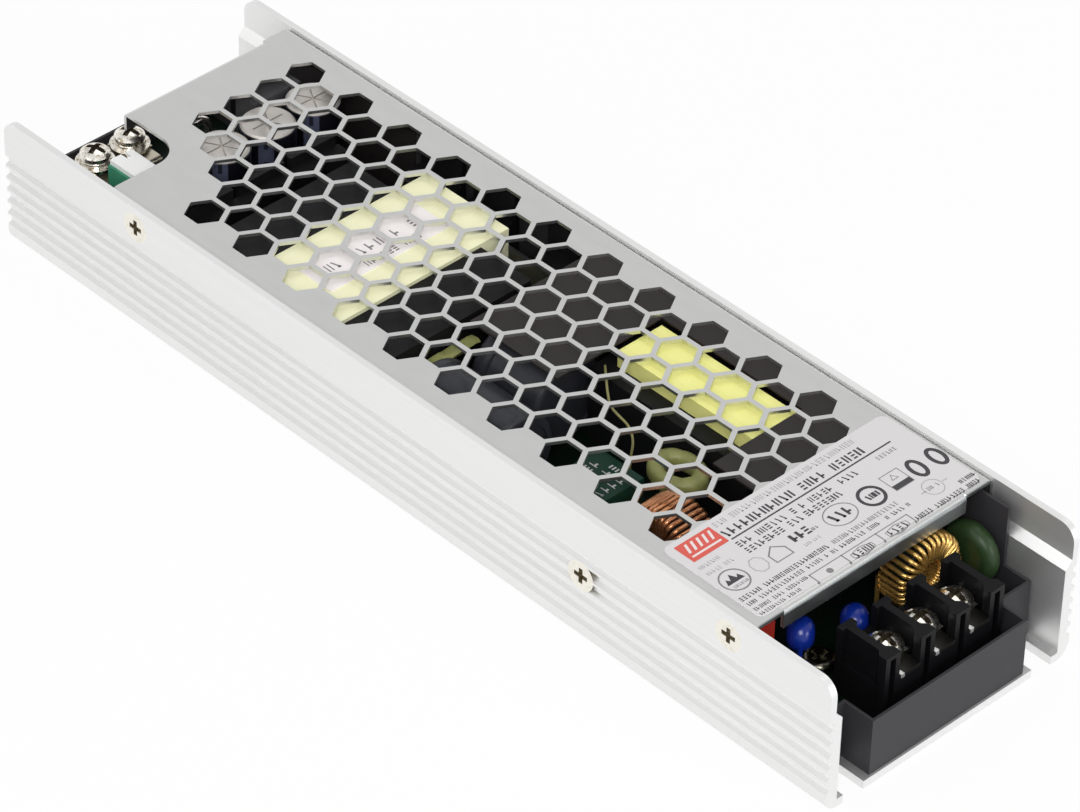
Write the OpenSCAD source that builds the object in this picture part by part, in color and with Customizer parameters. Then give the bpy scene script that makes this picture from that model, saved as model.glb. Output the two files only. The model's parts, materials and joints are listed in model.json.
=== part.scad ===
// Slim switching power supply in an aluminium channel with a vented cover.
// X runs along the case towards the mains input, Y across it and Z up.
// The origin is the middle of the case's footprint, on the plane it stands on.

/* [Case] */
// Length of the case
case_l = 194; // [193:0.5:200]
// Width of the case over both walls
case_w = 55; // [54.5:0.25:57]
// Height of the case walls
case_h = 26; // [26:0.25:28]
// Thickness of the floor
floor_t = 1.6; // [1.4:0.1:1.7]
// Thickness of the ribbed lower walls
wall_t = 2.6; // [2.2:0.1:2.6]
// Thickness of the plain rims that hold the cover
rim_t = 1.2; // [1:0.1:1.3]
// Height of the plain outer band of each wall
band_h = 7.5; // [7:0.25:8]
// Spacing of the outer cooling grooves
groove_pitch = 2.5; // [2.3:0.1:2.6]
// Depth of the outer cooling grooves
groove_depth = 0.8; // [0.4:0.1:1]
// Radius of the outer lower edges
foot_r = 3; // [1.5:0.25:3.5]
// Width of the open mounting slots at the corners
slot_w = 4.5; // [4.2:0.1:4.6]
// Depth of the mounting slots from the case ends
slot_depth = 7; // [5.5:0.25:8]

/* [Cover] */
// Thickness of the cover sheet
cover_t = 0.6; // [0.5:0.05:0.8]
// Length of the cover
cover_l = 165; // [164.5:0.25:166]
// Distance of the cover's output edge from the case end
cover_set_back = 11.8; // [11.5:0.1:12]
// Spacing of the hexagonal vents
vent_pitch = 7; // [6.9:0.05:7.05]
// Size of the vents across their flats
vent_af = 6.1; // [5:0.1:6.3]
// Number of vent columns along the cover
vent_columns = 22; // [10:1:22]
// Depth of the folded end lips
lip_depth = 3.5; // [2.5:0.25:4]
// Length of the opening over the output terminals
notch_l = 15; // [13:0.5:15.5]
// Radius of that opening's inner corner
notch_r = 5; // [1:0.5:6]

/* [Board] */
// Thickness of the circuit board
board_t = 1.6; // [1:0.1:1.6]
// Height of the board's underside over the floor
board_lift = 3.4; // [3.2:0.1:3.5]
// Thickness of the insulating film
film_t = 0.5; // [0.3:0.05:0.5]
// Height of the film tray's folded sides over the floor
tray_h = 11; // [8:0.25:12]

/* [Input terminal] */
// Spacing of the input terminal's poles
pole_pitch = 7.75; // [7.5:0.05:7.8]
// Number of poles
pole_count = 3; // [2:1:3]
// Height of the barriers over the board
barrier_h = 13.2; // [11.5:0.1:14]

/* [Hidden] */
$fn = 48;
fit = 0.3;                               // clearance round loose sheet parts
half_l = case_l / 2;
half_w = case_w / 2;
end_r = 3;                               // upper corners of the wall ends
ledge_drop = 1.5;                        // height of the sloped inner ledge
ledge_z = case_h - 6.1;
groove_count = 6;
groove_top = case_h - band_h;            // upper edge of the highest groove
groove_w = 2;
groove_floor_w = 1.2;
slot_y = half_w - 6.3;                   // centre line of the corner slots
tongue_half = slot_y - slot_w / 2;       // half width of the floor's end tongues
end_zone = 6;                            // length of the narrow ends of the tray

cover_top = case_h - 0.3;
cover_under = cover_top - cover_t;
cover_half = half_w - rim_t;
cover_rear = cover_set_back - half_l;
cover_front = cover_rear + cover_l;
bend_r = 1.1;
flange_low = ledge_z + 0.2;
lip_half = cover_half - 6;
notch_x = cover_rear + notch_l;
vent_x0 = cover_rear + 12.1;
vent_step = vent_pitch * cos(30);
vent_y0 = 2.75 * vent_pitch;
notch_y = vent_y0 - 3.5 * vent_pitch - vent_af / 2 - 2.7;
rows_full = 6;

screw_z = case_h - 4;
side_screw_x = [cover_rear + 22.2, min(cover_front, half_l - 17.2) - 4.6];
clamp_x = 43.3;
clamp_z = 13.7;
m3 = 3;
nut_h = 2;
csk_d = 5.6;
csk_depth = 1.15;

tray_half = half_w - wall_t - fit;
tray_end_half = tongue_half - 1.6;
tray_end = half_l - 0.4;
tray_step = tray_end - end_zone;
tray_top = floor_t + tray_h;
barrier_x = [37 - half_l, half_l - 11.8]; // reach of the tall side barrier

board_z = floor_t + board_lift;
board_top = board_z + board_t;
board_half = tray_half - film_t - fit;
board_end_half = tray_end_half - film_t - fit;
board_end = tray_end - film_t - fit;
board_step = tray_step - film_t - fit;
stud_d = 5.6;
studs = [
    [half_l - 19.5, 14.8 - board_half],
    [26, board_half - 24.6],
    [42.5 - half_l, board_half - 6],
    [18.4 - half_l, board_half - 19.6]
];

sheet_t = 0.4;
sheet_z = cover_under - sheet_t;         // underside of the film under the cover
inner_top = sheet_z - 0.5;               // highest point allowed for tall parts
lip_low = cover_top - lip_depth;

// Input terminal
side_ledge = 1.2;
term_front = half_l - 3.3;
term_back = term_front - 9.3;
term_room = tray_end_half - film_t - pole_pitch * pole_count / 2 - side_ledge;
term_y = 0.323 * term_room;              // the block stands off the middle
seat_z = board_top + 7.7;
head_d = 6;
ridge_w = 1.4;
barrier_head_w = 3.2;
barrier_head_l = 2.5;
barrier_slot = 1.5;
plate_t = 0.8;

// Mains filter
varistor_t = 3.6;
varistor_x = half_l - 16.3;
varistor_y = board_half - 2.5;
varistor_lift = 2.4;
varistor_d = lip_low - 2.2 - board_top - varistor_lift;
gold_lift = 1.5;                         // height over the board, on its leads
gold_od = lip_low - 0.1 - board_top - gold_lift;
gold_w = 6.4;
gold_x = half_l - 18.7;
gold_y = varistor_y - varistor_t / 2 - 0.6 - gold_od / 2;
film_cap = [10, 9.4, inner_top - 1.8 - board_top];
film_cap_at = [30.2, 3.4 - board_half];
copper_lift = 0.4;
copper_od = inner_top - 0.8 - board_top - copper_lift;
copper_w = 8.2;
copper_x = film_cap_at[0] + film_cap[0] + 0.6 + copper_od / 2;
copper_y = 10.8 - board_half;
wind_t = 1.5;                            // thickness of a toroid's winding
gold_build = 4.8;                        // wound ring from its hole to its outside
copper_build = 6;
disc_d = 5.7;
disc_t = 4.5;
disc_at = [[half_l - 19.8, 10.4 - board_half, 6.05], [half_l - 17, -4.3, 5.05]];
red_box = [13, 5, inner_top - 3 - board_top];
red_box_at = [half_l - 34, 0.8 - board_half];
fuse_d = 8.5;
fuse_h = 7.7;
bridge_w = 18;
bridge_t = 3.4;
bridge_low = 3.2;

// Converter
choke_leg = 3.4;
choke_x = [16, 46.5];
choke_y = [board_half - 17, board_half - 7.1];
choke_core_h = inner_top - 3.2 - board_top;
can_gap = 0.3;
bulk_d = inner_top - 1.6 - board_top;
bulk_l = 20.5;
bulk_x = -3.6;
bulk_y = bulk_d / 2 - 0.1 - board_half;
trafo_x = [45.5 - half_l, -7.5];
trafo_y = [1.8 - board_half, board_half - 13.8];
wrap_x = [trafo_x[1] - 32.3, trafo_x[1] - 12];
wrap_y = [0.4 - board_half, board_half - 7.5];
wrap_t = 0.7;
label_t = 0.1;

// Output
sink_x = 38 - half_l;
sink_t = 2.4;
sink_top = inner_top - 3.1;
sink_hole_z = sink_top - 3.3;
lead_h = 3;                              // height of a transistor over the board
sink_y = [3.8 - board_half, board_half - 9.8];
sink_pitch = 11.4;
sink_holes = [for (k = [-1 : 1]) (sink_y[0] + sink_y[1]) / 2 + k * sink_pitch];
opto_x = 41 - half_l;
out_cap_d = 10;
out_cap_x = 27.6 - half_l;
can_h = inner_top - 1.2 - board_top;
out_cap_y = [for (k = [2 : -1 : 0]) board_half - 1.2 - out_cap_d / 2 - k * (out_cap_d + 0.25)];
post_x = 9.7 - half_l;
post_y = [8 - board_half, 15.6 - board_half];
post_h = 9.8;
post_w = 5.4;
bus_end = 21 - half_l;
sleeve_t = 0.25;
washer_d = 7;
washer_t = 0.5;
spring_t = 0.8;
out_head_d = 5.3;
sense_x = [16.7 - half_l, 33.5 - half_l];
sense_y = 5 - board_half;
sense_t = 1.6;
sense_top = inner_top - 2.2;
socket_l = 9;
socket_out = 3.6;                        // reach of the socket behind its board

// ---- Shared shapes ---------------------------------------------------------

// Square corner that is left outside a quarter circle; cuts a rounded edge.
module corner_cut(r) {
    difference() {
        translate([-0.01, -0.01]) square(r + 0.01);
        translate([r, r]) circle(r);
    }
}

// Box given by its ranges in X, Y and Z.
module block(x, y, z) {
    translate([x[0], y[0], z[0]]) cube([x[1] - x[0], y[1] - y[0], z[1] - z[0]]);
}

// Outline with narrow ends, as used by the tray and the board.
module stepped_outline(step_x, end_x, half, end_half) {
    square([2 * step_x, 2 * half], center = true);
    square([2 * end_x, 2 * end_half], center = true);
}

// Ring of rectangular section with rounded edges, standing with its axis on X.
module toroid(od, id, w, r) {
    rotate([0, 90, 0])
        rotate_extrude($fn = 64)
            difference() {
                translate([id / 2, -w / 2]) square([(od - id) / 2, w]);
                for (s = [-1, 1]) {
                    translate([od / 2, s * w / 2]) rotate(s > 0 ? 180 : 90) corner_cut(r);
                    translate([id / 2, s * w / 2]) rotate(s > 0 ? 270 : 0) corner_cut(r);
                }
            }
}

// Phillips recess with a flat floor, cut downwards from the origin.
module cross_recess(reach, depth) {
    arm = reach * 0.3;
    for (a = [0, 90])
        rotate(a) translate([-reach / 2, -arm / 2, -depth]) cube([reach, arm, depth + 1]);
}

// Pan head screw standing on the origin with its shank pointing down.
module pan_screw(d, head, head_h, shank) {
    difference() {
        union() {
            translate([0, 0, -shank]) cylinder(d = d, h = shank + 0.01);
            rotate_extrude()
                difference() {
                    square([head / 2, head_h]);
                    translate([head / 2, head_h]) rotate(180) corner_cut(head_h * 0.55);
                }
        }
        translate([0, 0, head_h]) cross_recess(head * 0.56, head_h * 0.6);
    }
}

// Screw with a domed head, otherwise like the pan head screw.
module domed_screw(d, head, head_h, shank) {
    dome = head_h * 0.55;
    dome_r = (head * head / 4 + dome * dome) / (2 * dome);
    difference() {
        union() {
            translate([0, 0, -shank]) cylinder(d = d, h = shank + 0.01);
            rotate_extrude()
                intersection() {
                    square([head / 2, head_h]);
                    translate([0, head_h - dome_r]) circle(dome_r, $fn = 160);
                }
        }
        translate([0, 0, head_h]) cross_recess(head * 0.6, head_h * 0.6);
    }
}

// Countersunk screw lying along +Y with its head face on the origin's plane.
module flush_screw(shank) {
    rotate([-90, 0, 0])
        difference() {
            union() {
                cylinder(d1 = csk_d, d2 = m3, h = csk_depth);
                cylinder(d = m3, h = shank);
            }
            rotate([180, 0, 0]) cross_recess(csk_d * 0.52, 0.9);
        }
}

// ---- Case ------------------------------------------------------------------

module wall_section() {
    groove_side = (groove_w - groove_floor_w) / 2;
    difference() {
        union() {
            translate([half_w - wall_t, 0]) square([wall_t, ledge_z - ledge_drop]);
            translate([half_w - rim_t, 0]) square([rim_t, case_h]);
            polygon([
                [half_w - wall_t, ledge_z - ledge_drop - 0.01],
                [half_w - rim_t + 0.01, ledge_z - ledge_drop - 0.01],
                [half_w - rim_t + 0.01, ledge_z],
                [half_w - rim_t, ledge_z]
            ]);
        }
        for (k = [0 : groove_count - 1])
            translate([half_w, groove_top - groove_w / 2 - k * groove_pitch])
                polygon([
                    [0.1, -groove_w / 2], [0, -groove_w / 2],
                    [-groove_depth, groove_side - groove_w / 2],
                    [-groove_depth, groove_w / 2 - groove_side],
                    [0, groove_w / 2], [0.1, groove_w / 2]
                ]);
        translate([half_w, 0]) rotate(90) corner_cut(foot_r);
    }
}

module channel_section() {
    translate([-half_w + wall_t, 0]) square([case_w - 2 * wall_t, floor_t]);
    wall_section();
    mirror([1, 0]) wall_section();
}

module corner_slot() {
    translate([half_l - slot_depth + slot_w / 2, slot_y, -1]) {
        cylinder(d = slot_w, h = floor_t + 2);
        translate([0, -slot_w / 2, 0]) cube([slot_depth, slot_w, floor_t + 2]);
    }
}

module screw_hole() {
    rotate([-90, 0, 0]) {
        cylinder(d1 = csk_d, d2 = m3, h = csk_depth);
        translate([0, 0, -1]) cylinder(d = m3, h = wall_t + 2);
    }
}

module base_channel() {
    color([0.89, 0.89, 0.88])
    difference() {
        rotate([90, 0, 90]) linear_extrude(case_l, center = true) channel_section();
        for (sx = [0, 1], sy = [0, 1])
            mirror([sx, 0, 0]) mirror([0, sy, 0]) corner_slot();
        for (sx = [0, 1])
            mirror([sx, 0, 0])
                translate([half_l, half_w + 1, case_h])
                    rotate([90, 90, 0])
                        mirror([0, 1, 0]) linear_extrude(case_w + 2) corner_cut(end_r);
        for (x = side_screw_x, sy = [0, 1])
            mirror([0, sy, 0]) translate([x, -half_w, screw_z]) screw_hole();
        translate([clamp_x, -half_w, clamp_z]) screw_hole();
    }
}

module cover_section() {
    difference() {
        translate([-cover_half, flange_low])
            square([2 * cover_half, cover_top - flange_low]);
        translate([-cover_half + cover_t, flange_low - 1])
            square([2 * (cover_half - cover_t), cover_under - flange_low + 1]);
        for (s = [0, 1])
            mirror([s, 0]) translate([cover_half, cover_top]) rotate(180) corner_cut(bend_r);
    }
}

module end_lip() {
    translate([0, lip_half, 0])
        rotate([90, 0, 0])
            linear_extrude(2 * lip_half)
                difference() {
                    translate([-bend_r, -lip_depth]) square([bend_r, lip_depth]);
                    translate([-bend_r - 1, -lip_depth - 1])
                        square([bend_r - cover_t + 1, lip_depth - cover_t + 1]);
                    rotate(180) corner_cut(bend_r);
                }
}

// Number of vents in a column: the first ones make room for the terminal opening.
function vents_in(column) = column < 2 ? 4 : column < 3 ? 5 : rows_full;

module vents() {
    for (c = [0 : vent_columns - 1], r = [0 : vents_in(c) - 1])
        translate([vent_x0 + c * vent_step, vent_y0 - (r + (c % 2) / 2) * vent_pitch])
            circle(d = vent_af / cos(30), $fn = 6);
}

module terminal_opening() {
    translate([cover_rear - 1, -half_w])
        difference() {
            square([notch_l + 1, half_w + notch_y]);
            translate([notch_l + 1, half_w + notch_y]) rotate(180) corner_cut(notch_r);
        }
}

module top_cover() {
    color([0.77, 0.77, 0.75])
    difference() {
        union() {
            difference() {
                translate([cover_rear, 0, 0])
                    rotate([90, 0, 90]) linear_extrude(cover_l) cover_section();
                // the plate stops short of both folded lips
                for (s = [0, 1])
                    translate([(s == 0 ? cover_rear : cover_front) - bend_r, -lip_half, cover_under - 1])
                        cube([2 * bend_r, 2 * lip_half, 5]);
            }
            translate([cover_front, 0, cover_top]) end_lip();
            translate([cover_rear, 0, cover_top]) mirror([1, 0, 0]) end_lip();
        }
        translate([0, 0, flange_low - 1])
            linear_extrude(cover_top - flange_low + 2) terminal_opening();
        translate([0, 0, cover_under - 1]) linear_extrude(cover_t + 2) vents();
        for (x = side_screw_x)
            translate([x, 0, screw_z]) rotate([90, 0, 0]) cylinder(d = m3, h = case_w, center = true);
    }
}

module rating_label() {
    label_x = [cover_front - 22.7, cover_front - bend_r - 0.1];
    label_y = [2.1 - cover_half, cover_half - bend_r - 0.1];
    film = 0.12;
    r = 1.5;
    color([0.84, 0.82, 0.83])
    translate([0, 0, cover_top])
        linear_extrude(film)
            difference() {
                translate([label_x[0], label_y[0]])
                    square([label_x[1] - label_x[0], label_y[1] - label_y[0]]);
                translate([label_x[0], label_y[0]]) corner_cut(r);
                translate([label_x[1], label_y[0]]) rotate(90) corner_cut(r);
                translate([label_x[1], label_y[1]]) rotate(180) corner_cut(r);
                translate([label_x[0], label_y[1]]) rotate(270) corner_cut(r);
            }
}

module cover_screws() {
    color([0.85, 0.83, 0.78])
    for (x = side_screw_x, sy = [0, 1])
        mirror([0, sy, 0]) translate([x, -half_w, screw_z]) flush_screw(rim_t + cover_t + 0.5);
}

// ---- Insulation and board --------------------------------------------------

module insulator_tray() {
    side_h = inner_top - floor_t;
    color([0.1, 0.1, 0.11])
    translate([0, 0, floor_t])
    difference() {
        union() {
            difference() {
                linear_extrude(tray_h) stepped_outline(tray_step, tray_end, tray_half, tray_end_half);
                translate([0, 0, film_t])
                    linear_extrude(tray_h)
                        stepped_outline(tray_step - film_t, tray_end - film_t,
                                        tray_half - film_t, tray_end_half - film_t);
            }
            block([barrier_x[0], min(barrier_x[1], tray_step)],
                  [tray_half - film_t, tray_half], [0, side_h]);
        }
        for (p = studs) translate([p[0], p[1], -1]) cylinder(d = stud_d + 0.4, h = film_t + 2);
        translate([clamp_x, -tray_half - 1, clamp_z - floor_t])
            rotate([-90, 0, 0]) cylinder(d = m3 + 0.6, h = film_t + 2);
    }
}

// Film under the cover with a window for the choke.
module insulator_sheet() {
    window_gap = 0.6;
    sheet_x = [-4.8, 59];
    edge_y = board_half;
    color([0.18, 0.17, 0.18])
    translate([0, 0, sheet_z])
        linear_extrude(cover_under - sheet_z) {
            translate([sheet_x[0], -6.2])
                square([choke_x[0] - window_gap - sheet_x[0], edge_y + 6.2]);
            translate([sheet_x[0], choke_y[1] + window_gap])
                square([sheet_x[1] - sheet_x[0], edge_y - choke_y[1] - window_gap]);
            translate([choke_x[1] + window_gap, -2.8])
                square([sheet_x[1] - choke_x[1] - window_gap, edge_y + 2.8]);
        }
}

module circuit_board() {
    color([0.08, 0.22, 0.13])
    translate([0, 0, board_z])
        linear_extrude(board_t)
            difference() {
                stepped_outline(board_step, board_end, board_half, board_end_half);
                for (p = studs) translate(p) circle(d = m3 + 0.4);
            }
}

module board_studs() {
    color([0.75, 0.76, 0.77])
    for (p = studs)
        translate([p[0], p[1], floor_t])
            difference() {
                cylinder(d = stud_d, h = board_lift);
                translate([0, 0, 0.6]) cylinder(d = m3, h = board_lift);
            }
}

module board_screws() {
    color([0.8, 0.8, 0.78])
    for (p = studs) translate([p[0], p[1], board_top]) pan_screw(m3, 5.6, 2, board_t + 2.2);
}

// Gap filler between the hot parts' solder side and the floor.
module thermal_pad() {
    color([0.55, 0.6, 0.66])
    translate([0, 0, floor_t + film_t])
        linear_extrude(board_lift - film_t)
            translate([trafo_x[0] + 1.5, trafo_y[0] + 2])
                square([trafo_x[1] - trafo_x[0] - 2, trafo_y[1] - trafo_y[0] + 2]);
}

// ---- Mains input -----------------------------------------------------------

// Plan of one barrier: a ridge with a flange at its back and a flared head in front.
module barrier_outline() {
    back = term_back - 1.2;
    flare = (barrier_head_w - ridge_w) / 2;
    translate([back, -ridge_w / 2]) square([term_front - back, ridge_w]);
    translate([back, -barrier_head_w / 2]) square([1.2, barrier_head_w]);
    polygon([
        [term_front - barrier_head_l, -ridge_w / 2],
        [term_front - barrier_head_l + flare, -barrier_head_w / 2],
        [term_front, -barrier_head_w / 2],
        [term_front, barrier_head_w / 2],
        [term_front - barrier_head_l + flare, barrier_head_w / 2],
        [term_front - barrier_head_l, ridge_w / 2]
    ]);
}

module input_terminal_block() {
    barrier_top = min(board_top + barrier_h, inner_top);
    width = pole_pitch * pole_count;
    back_t = 1.3;
    plug_h = 6;
    slot_a = 1.2;
    cap_t = 0.7;
    color([0.09, 0.08, 0.1])
    difference() {
        union() {
            // body, low rear wall and side ledges
            block([term_back, term_front], [term_y - width / 2, term_y + width / 2],
                  [board_top, seat_z]);
            block([term_back - 1.2, term_back + back_t - 1.2],
                  [term_y - width / 2, term_y + width / 2], [board_top, seat_z + 1.2]);
            block([term_back, term_front - 0.8],
                  [term_y - width / 2 - side_ledge, term_y + width / 2 + side_ledge],
                  [board_top, seat_z - 1.4]);
            for (k = [0 : pole_count])
                translate([0, term_y + (k - pole_count / 2) * pole_pitch, board_top])
                    linear_extrude(barrier_top - board_top) barrier_outline();
        }
        // wells under the plates that take the screw ends
        for (k = [0 : pole_count - 1])
            translate([term_back + 4, term_y + (k + 0.5 - pole_count / 2) * pole_pitch, seat_z - plug_h])
                cylinder(d = m3 + 1, h = plug_h + 1);
        // front slot of each barrier, closed by the cap of its head
        for (k = [0 : pole_count])
            translate([term_front - barrier_slot, term_y + (k - pole_count / 2) * pole_pitch - slot_a / 2,
                       board_top - 1])
                cube([barrier_slot + 1, slot_a, barrier_top - cap_t - board_top + 1]);
    }
}

module input_contact_plates() {
    plate_w = pole_pitch - ridge_w - 0.2;
    tongue_w = pole_pitch - barrier_head_w - 0.2;
    color([0.86, 0.86, 0.84])
    for (k = [0 : pole_count - 1])
        translate([0, term_y + (k + 0.5 - pole_count / 2) * pole_pitch, seat_z])
            difference() {
                union() {
                    translate([term_back + 0.3, -plate_w / 2, 0])
                        cube([term_front - barrier_head_l - term_back - 0.5, plate_w, plate_t]);
                    translate([term_back + 0.3, -tongue_w / 2, 0])
                        cube([term_front - term_back, tongue_w, plate_t]);
                }
                translate([term_back + 4, 0, -1]) cylinder(d = m3, h = 3);
            }
}

// Terminal screws with a captive square washer that clamps the wire.
module input_terminal_screws() {
    head_h = 2.3;
    clamp = [5.2, 5.2, 0.6];
    color([0.86, 0.82, 0.75])
    for (k = [0 : pole_count - 1])
        translate([term_back + 4, term_y + (k + 0.5 - pole_count / 2) * pole_pitch, seat_z + plate_t])
            difference() {
                union() {
                    translate([0, 0, clamp[2] - 0.01]) domed_screw(m3, head_d, head_h, 6);
                    translate([-clamp[0] / 2, -clamp[1] / 2, 0]) cube(clamp);
                }
                // screwdriver slot that crosses the recess
                translate([-head_d, -0.4, clamp[2] + head_h - 0.8]) cube([2 * head_d, 0.8, 2]);
            }
}

// Round fuse in a moulded cap that stands on two leads.
module input_fuse() {
    lead_d = 0.8;
    base_h = 1.2;
    stand = 0.5;
    color([0.1, 0.1, 0.11])
    translate([half_l - 32.5, board_half - 8, board_top]) {
        translate([0, 0, stand])
            rotate_extrude()
                difference() {
                    union() {
                        square([fuse_d / 2, base_h]);
                        square([fuse_d / 2 - 0.4, fuse_h - stand]);
                    }
                    translate([fuse_d / 2 - 0.4, fuse_h - stand]) rotate(180) corner_cut(0.6);
                }
        for (s = [-1, 1]) translate([s * 2.54, 0, 0]) cylinder(d = lead_d, h = stand + 1, $fn = 16);
    }
}

module line_filter_capacitor() {
    stand = 0.4;
    lead_w = 1.2;
    color([0.72, 0.1, 0.09])
    translate([red_box_at[0], red_box_at[1], board_top]) {
        difference() {
            translate([0, 0, stand]) cube([red_box[0], red_box[1], red_box[2] - stand]);
            // the potted underside lies a little inside its shell
            translate([0.8, 0.8, stand - 1]) cube([red_box[0] - 1.6, red_box[1] - 1.6, 1.6]);
        }
        for (x = [1.5, red_box[0] - 1.5 - lead_w])
            translate([x, red_box[1] / 2 - 0.4, 0]) cube([lead_w, 0.8, stand + 1]);
    }
}

module leaded_disc(d, t, up, pitch) {
    lead_d = 0.8;
    translate([0, 0, up + d / 2])
        rotate([90, 0, 0])
            rotate_extrude($fn = 48)
                difference() {
                    translate([0, -t / 2]) square([d / 2, t]);
                    for (s = [0, 1])
                        mirror([0, s]) translate([d / 2, t / 2]) rotate(180) corner_cut(t * 0.49);
                }
    for (s = [-1, 1])
        translate([s * pitch / 2, 0, 0]) cylinder(d = lead_d, h = up + d / 2, $fn = 16);
}

module safety_capacitors() {
    color([0.12, 0.24, 0.66])
    for (p = disc_at)
        translate([p[0], p[1], board_top]) rotate(-45) leaded_disc(disc_d, disc_t, p[2], 5);
}

module surge_varistor() {
    color([0.2, 0.32, 0.19])
    translate([varistor_x, varistor_y, board_top])
        leaded_disc(varistor_d, varistor_t, varistor_lift, 7.5);
}

module ring_core(od, w, lift, build) {
    translate([0, 0, lift + od / 2])
        toroid(od - 2 * wind_t, od - 2 * build + 2 * wind_t, w - 2 * wind_t, 0.4);
}

// Winding of a toroid that stands on its own leads, with its axis on X.
module ring_winding(od, w, lift, build) {
    lead_d = 0.9;
    translate([0, 0, lift + od / 2])
        difference() {
            toroid(od, od - 2 * build, w, 1);
            toroid(od - 2 * wind_t, od - 2 * build + 2 * wind_t, w - 2 * wind_t, 0.4);
        }
    for (s = [-1, 1])
        translate([s * (w / 2 - lead_d / 2 - 0.2), s * (od - wind_t) / 2, 0])
            cylinder(d = lead_d, h = lift + od / 2, $fn = 16);
}

module line_choke_core() {
    color([0.3, 0.42, 0.32])
    translate([gold_x, gold_y, board_top]) ring_core(gold_od, gold_w, gold_lift, gold_build);
}

module line_choke_winding() {
    color([0.75, 0.55, 0.2])
    translate([gold_x, gold_y, board_top]) ring_winding(gold_od, gold_w, gold_lift, gold_build);
}

module filter_choke_core() {
    color([0.24, 0.36, 0.26])
    translate([copper_x, copper_y, board_top])
        rotate(90) ring_core(copper_od, copper_w, copper_lift, copper_build);
}

module filter_choke_winding() {
    color([0.75, 0.47, 0.27])
    translate([copper_x, copper_y, board_top])
        rotate(90) ring_winding(copper_od, copper_w, copper_lift, copper_build);
}

module film_capacitor() {
    stand = 0.6;
    color([0.06, 0.24, 0.18])
    translate([film_cap_at[0], film_cap_at[1], board_top]) {
        translate([0, 0, stand]) cube([film_cap[0], film_cap[1], film_cap[2] - stand]);
        for (x = [0, film_cap[0] - 1.6]) translate([x, 0, 0]) cube([1.6, film_cap[1], stand + 0.01]);
    }
}

module bridge_rectifier() {
    body_y = tray_half - film_t;
    lead_w = 1.1;
    color([0.12, 0.12, 0.13])
    translate([clamp_x, -body_y, 0])
        difference() {
            union() {
                difference() {
                    block([-bridge_w / 2, bridge_w / 2], [0, bridge_t],
                          [board_top + bridge_low, inner_top - 2.6]);
                    // chamfered corner that marks the positive lead
                    translate([bridge_w / 2, -1, inner_top - 2.6])
                        rotate([0, 45, 0]) translate([-1.6, 0, -1.6]) cube([3.2, bridge_t + 2, 3.2]);
                }
                for (k = [-1.5 : 1 : 1.5])
                    block([k * 4.6 - lead_w / 2, k * 4.6 + lead_w / 2],
                          [bridge_t / 2 - 0.35, bridge_t / 2 + 0.35],
                          [board_top, board_top + bridge_low + 1]);
            }
            translate([0, -1, clamp_z]) rotate([-90, 0, 0]) cylinder(d = m3, h = bridge_t + 2);
        }
}

module bridge_clamp_screw() {
    shank = wall_t + fit + film_t + bridge_t + nut_h + 0.3;
    color([0.85, 0.83, 0.78])
    translate([clamp_x, -half_w, clamp_z]) flush_screw(shank);
}

module bridge_clamp_nut() {
    nut_af = 5.5;
    color([0.8, 0.79, 0.76])
    translate([clamp_x, -tray_half + film_t + bridge_t, clamp_z])
        rotate([-90, 30, 0])
            difference() {
                cylinder(d = nut_af / cos(30), h = nut_h, $fn = 6);
                translate([0, 0, -1]) cylinder(d = m3, h = nut_h + 2);
            }
}

// ---- Converter -------------------------------------------------------------

module choke_bobbin_space() {
    post_d = 9.6;
    mid = (choke_y[0] + choke_y[1]) / 2;
    translate([choke_x[0] - 1, mid, board_top + choke_core_h / 2])
        rotate([0, 90, 0]) cylinder(d = post_d, h = choke_x[1] - choke_x[0] + 2);
}

module boost_choke_core() {
    cheek = 3;
    x0 = choke_x[0] - cheek;
    x1 = choke_x[1] + cheek;
    color([0.16, 0.16, 0.17])
    union() {
        block([x0, x1], [choke_y[0] - choke_leg, choke_y[0]], [board_top, board_top + choke_core_h]);
        block([x0, x1], [choke_y[1], choke_y[1] + choke_leg], [board_top, board_top + choke_core_h]);
        for (x = [x0, x1 - cheek])
            block([x, x + cheek], [choke_y[0] - choke_leg, choke_y[1] + choke_leg],
                  [board_top, board_top + choke_core_h]);
        choke_bobbin_space();
    }
}

module boost_choke_winding() {
    color([0.89, 0.92, 0.42])
    difference() {
        block(choke_x, choke_y, [board_top, inner_top]);
        choke_bobbin_space();
    }
}

// Electrolytic capacitor lying along +X with its crimped seal at the start.
module bulk_can(length) {
    rotate([0, 90, 0])
        difference() {
            rotate_extrude($fn = 56)
                difference() {
                    square([bulk_d / 2, length]);
                    translate([bulk_d / 2, 0]) rotate(90) corner_cut(0.9);
                    translate([bulk_d / 2, length]) rotate(180) corner_cut(0.9);
                    translate([bulk_d / 2 + 0.6, 2.8]) circle(1.1);
                }
            translate([0, 0, length - 0.3]) cylinder(d = bulk_d - 3, h = 1);
        }
}

module bulk_capacitors() {
    color([0.27, 0.27, 0.29])
    translate([0, 0, board_top + bulk_d / 2]) {
        translate([bulk_x, bulk_y, 0]) bulk_can(bulk_l);
        translate([bulk_x, bulk_y + bulk_d + can_gap, 0]) bulk_can(bulk_l - 5);
    }
}

// Glue that holds the two cans to each other and to the board.
module capacitor_adhesive() {
    mid = bulk_y + (bulk_d + can_gap) / 2;
    bead_h = 4;
    color([0.86, 0.85, 0.8])
    difference() {
        block([bulk_x + 5, bulk_x + 14], [mid - 4, mid + 4], [board_top, board_top + bead_h]);
        for (s = [-1, 1])
            translate([bulk_x, mid + s * (bulk_d + can_gap) / 2, board_top + bulk_d / 2])
                rotate([0, 90, 0]) cylinder(d = bulk_d, h = bulk_l, $fn = 56);
    }
}

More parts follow.
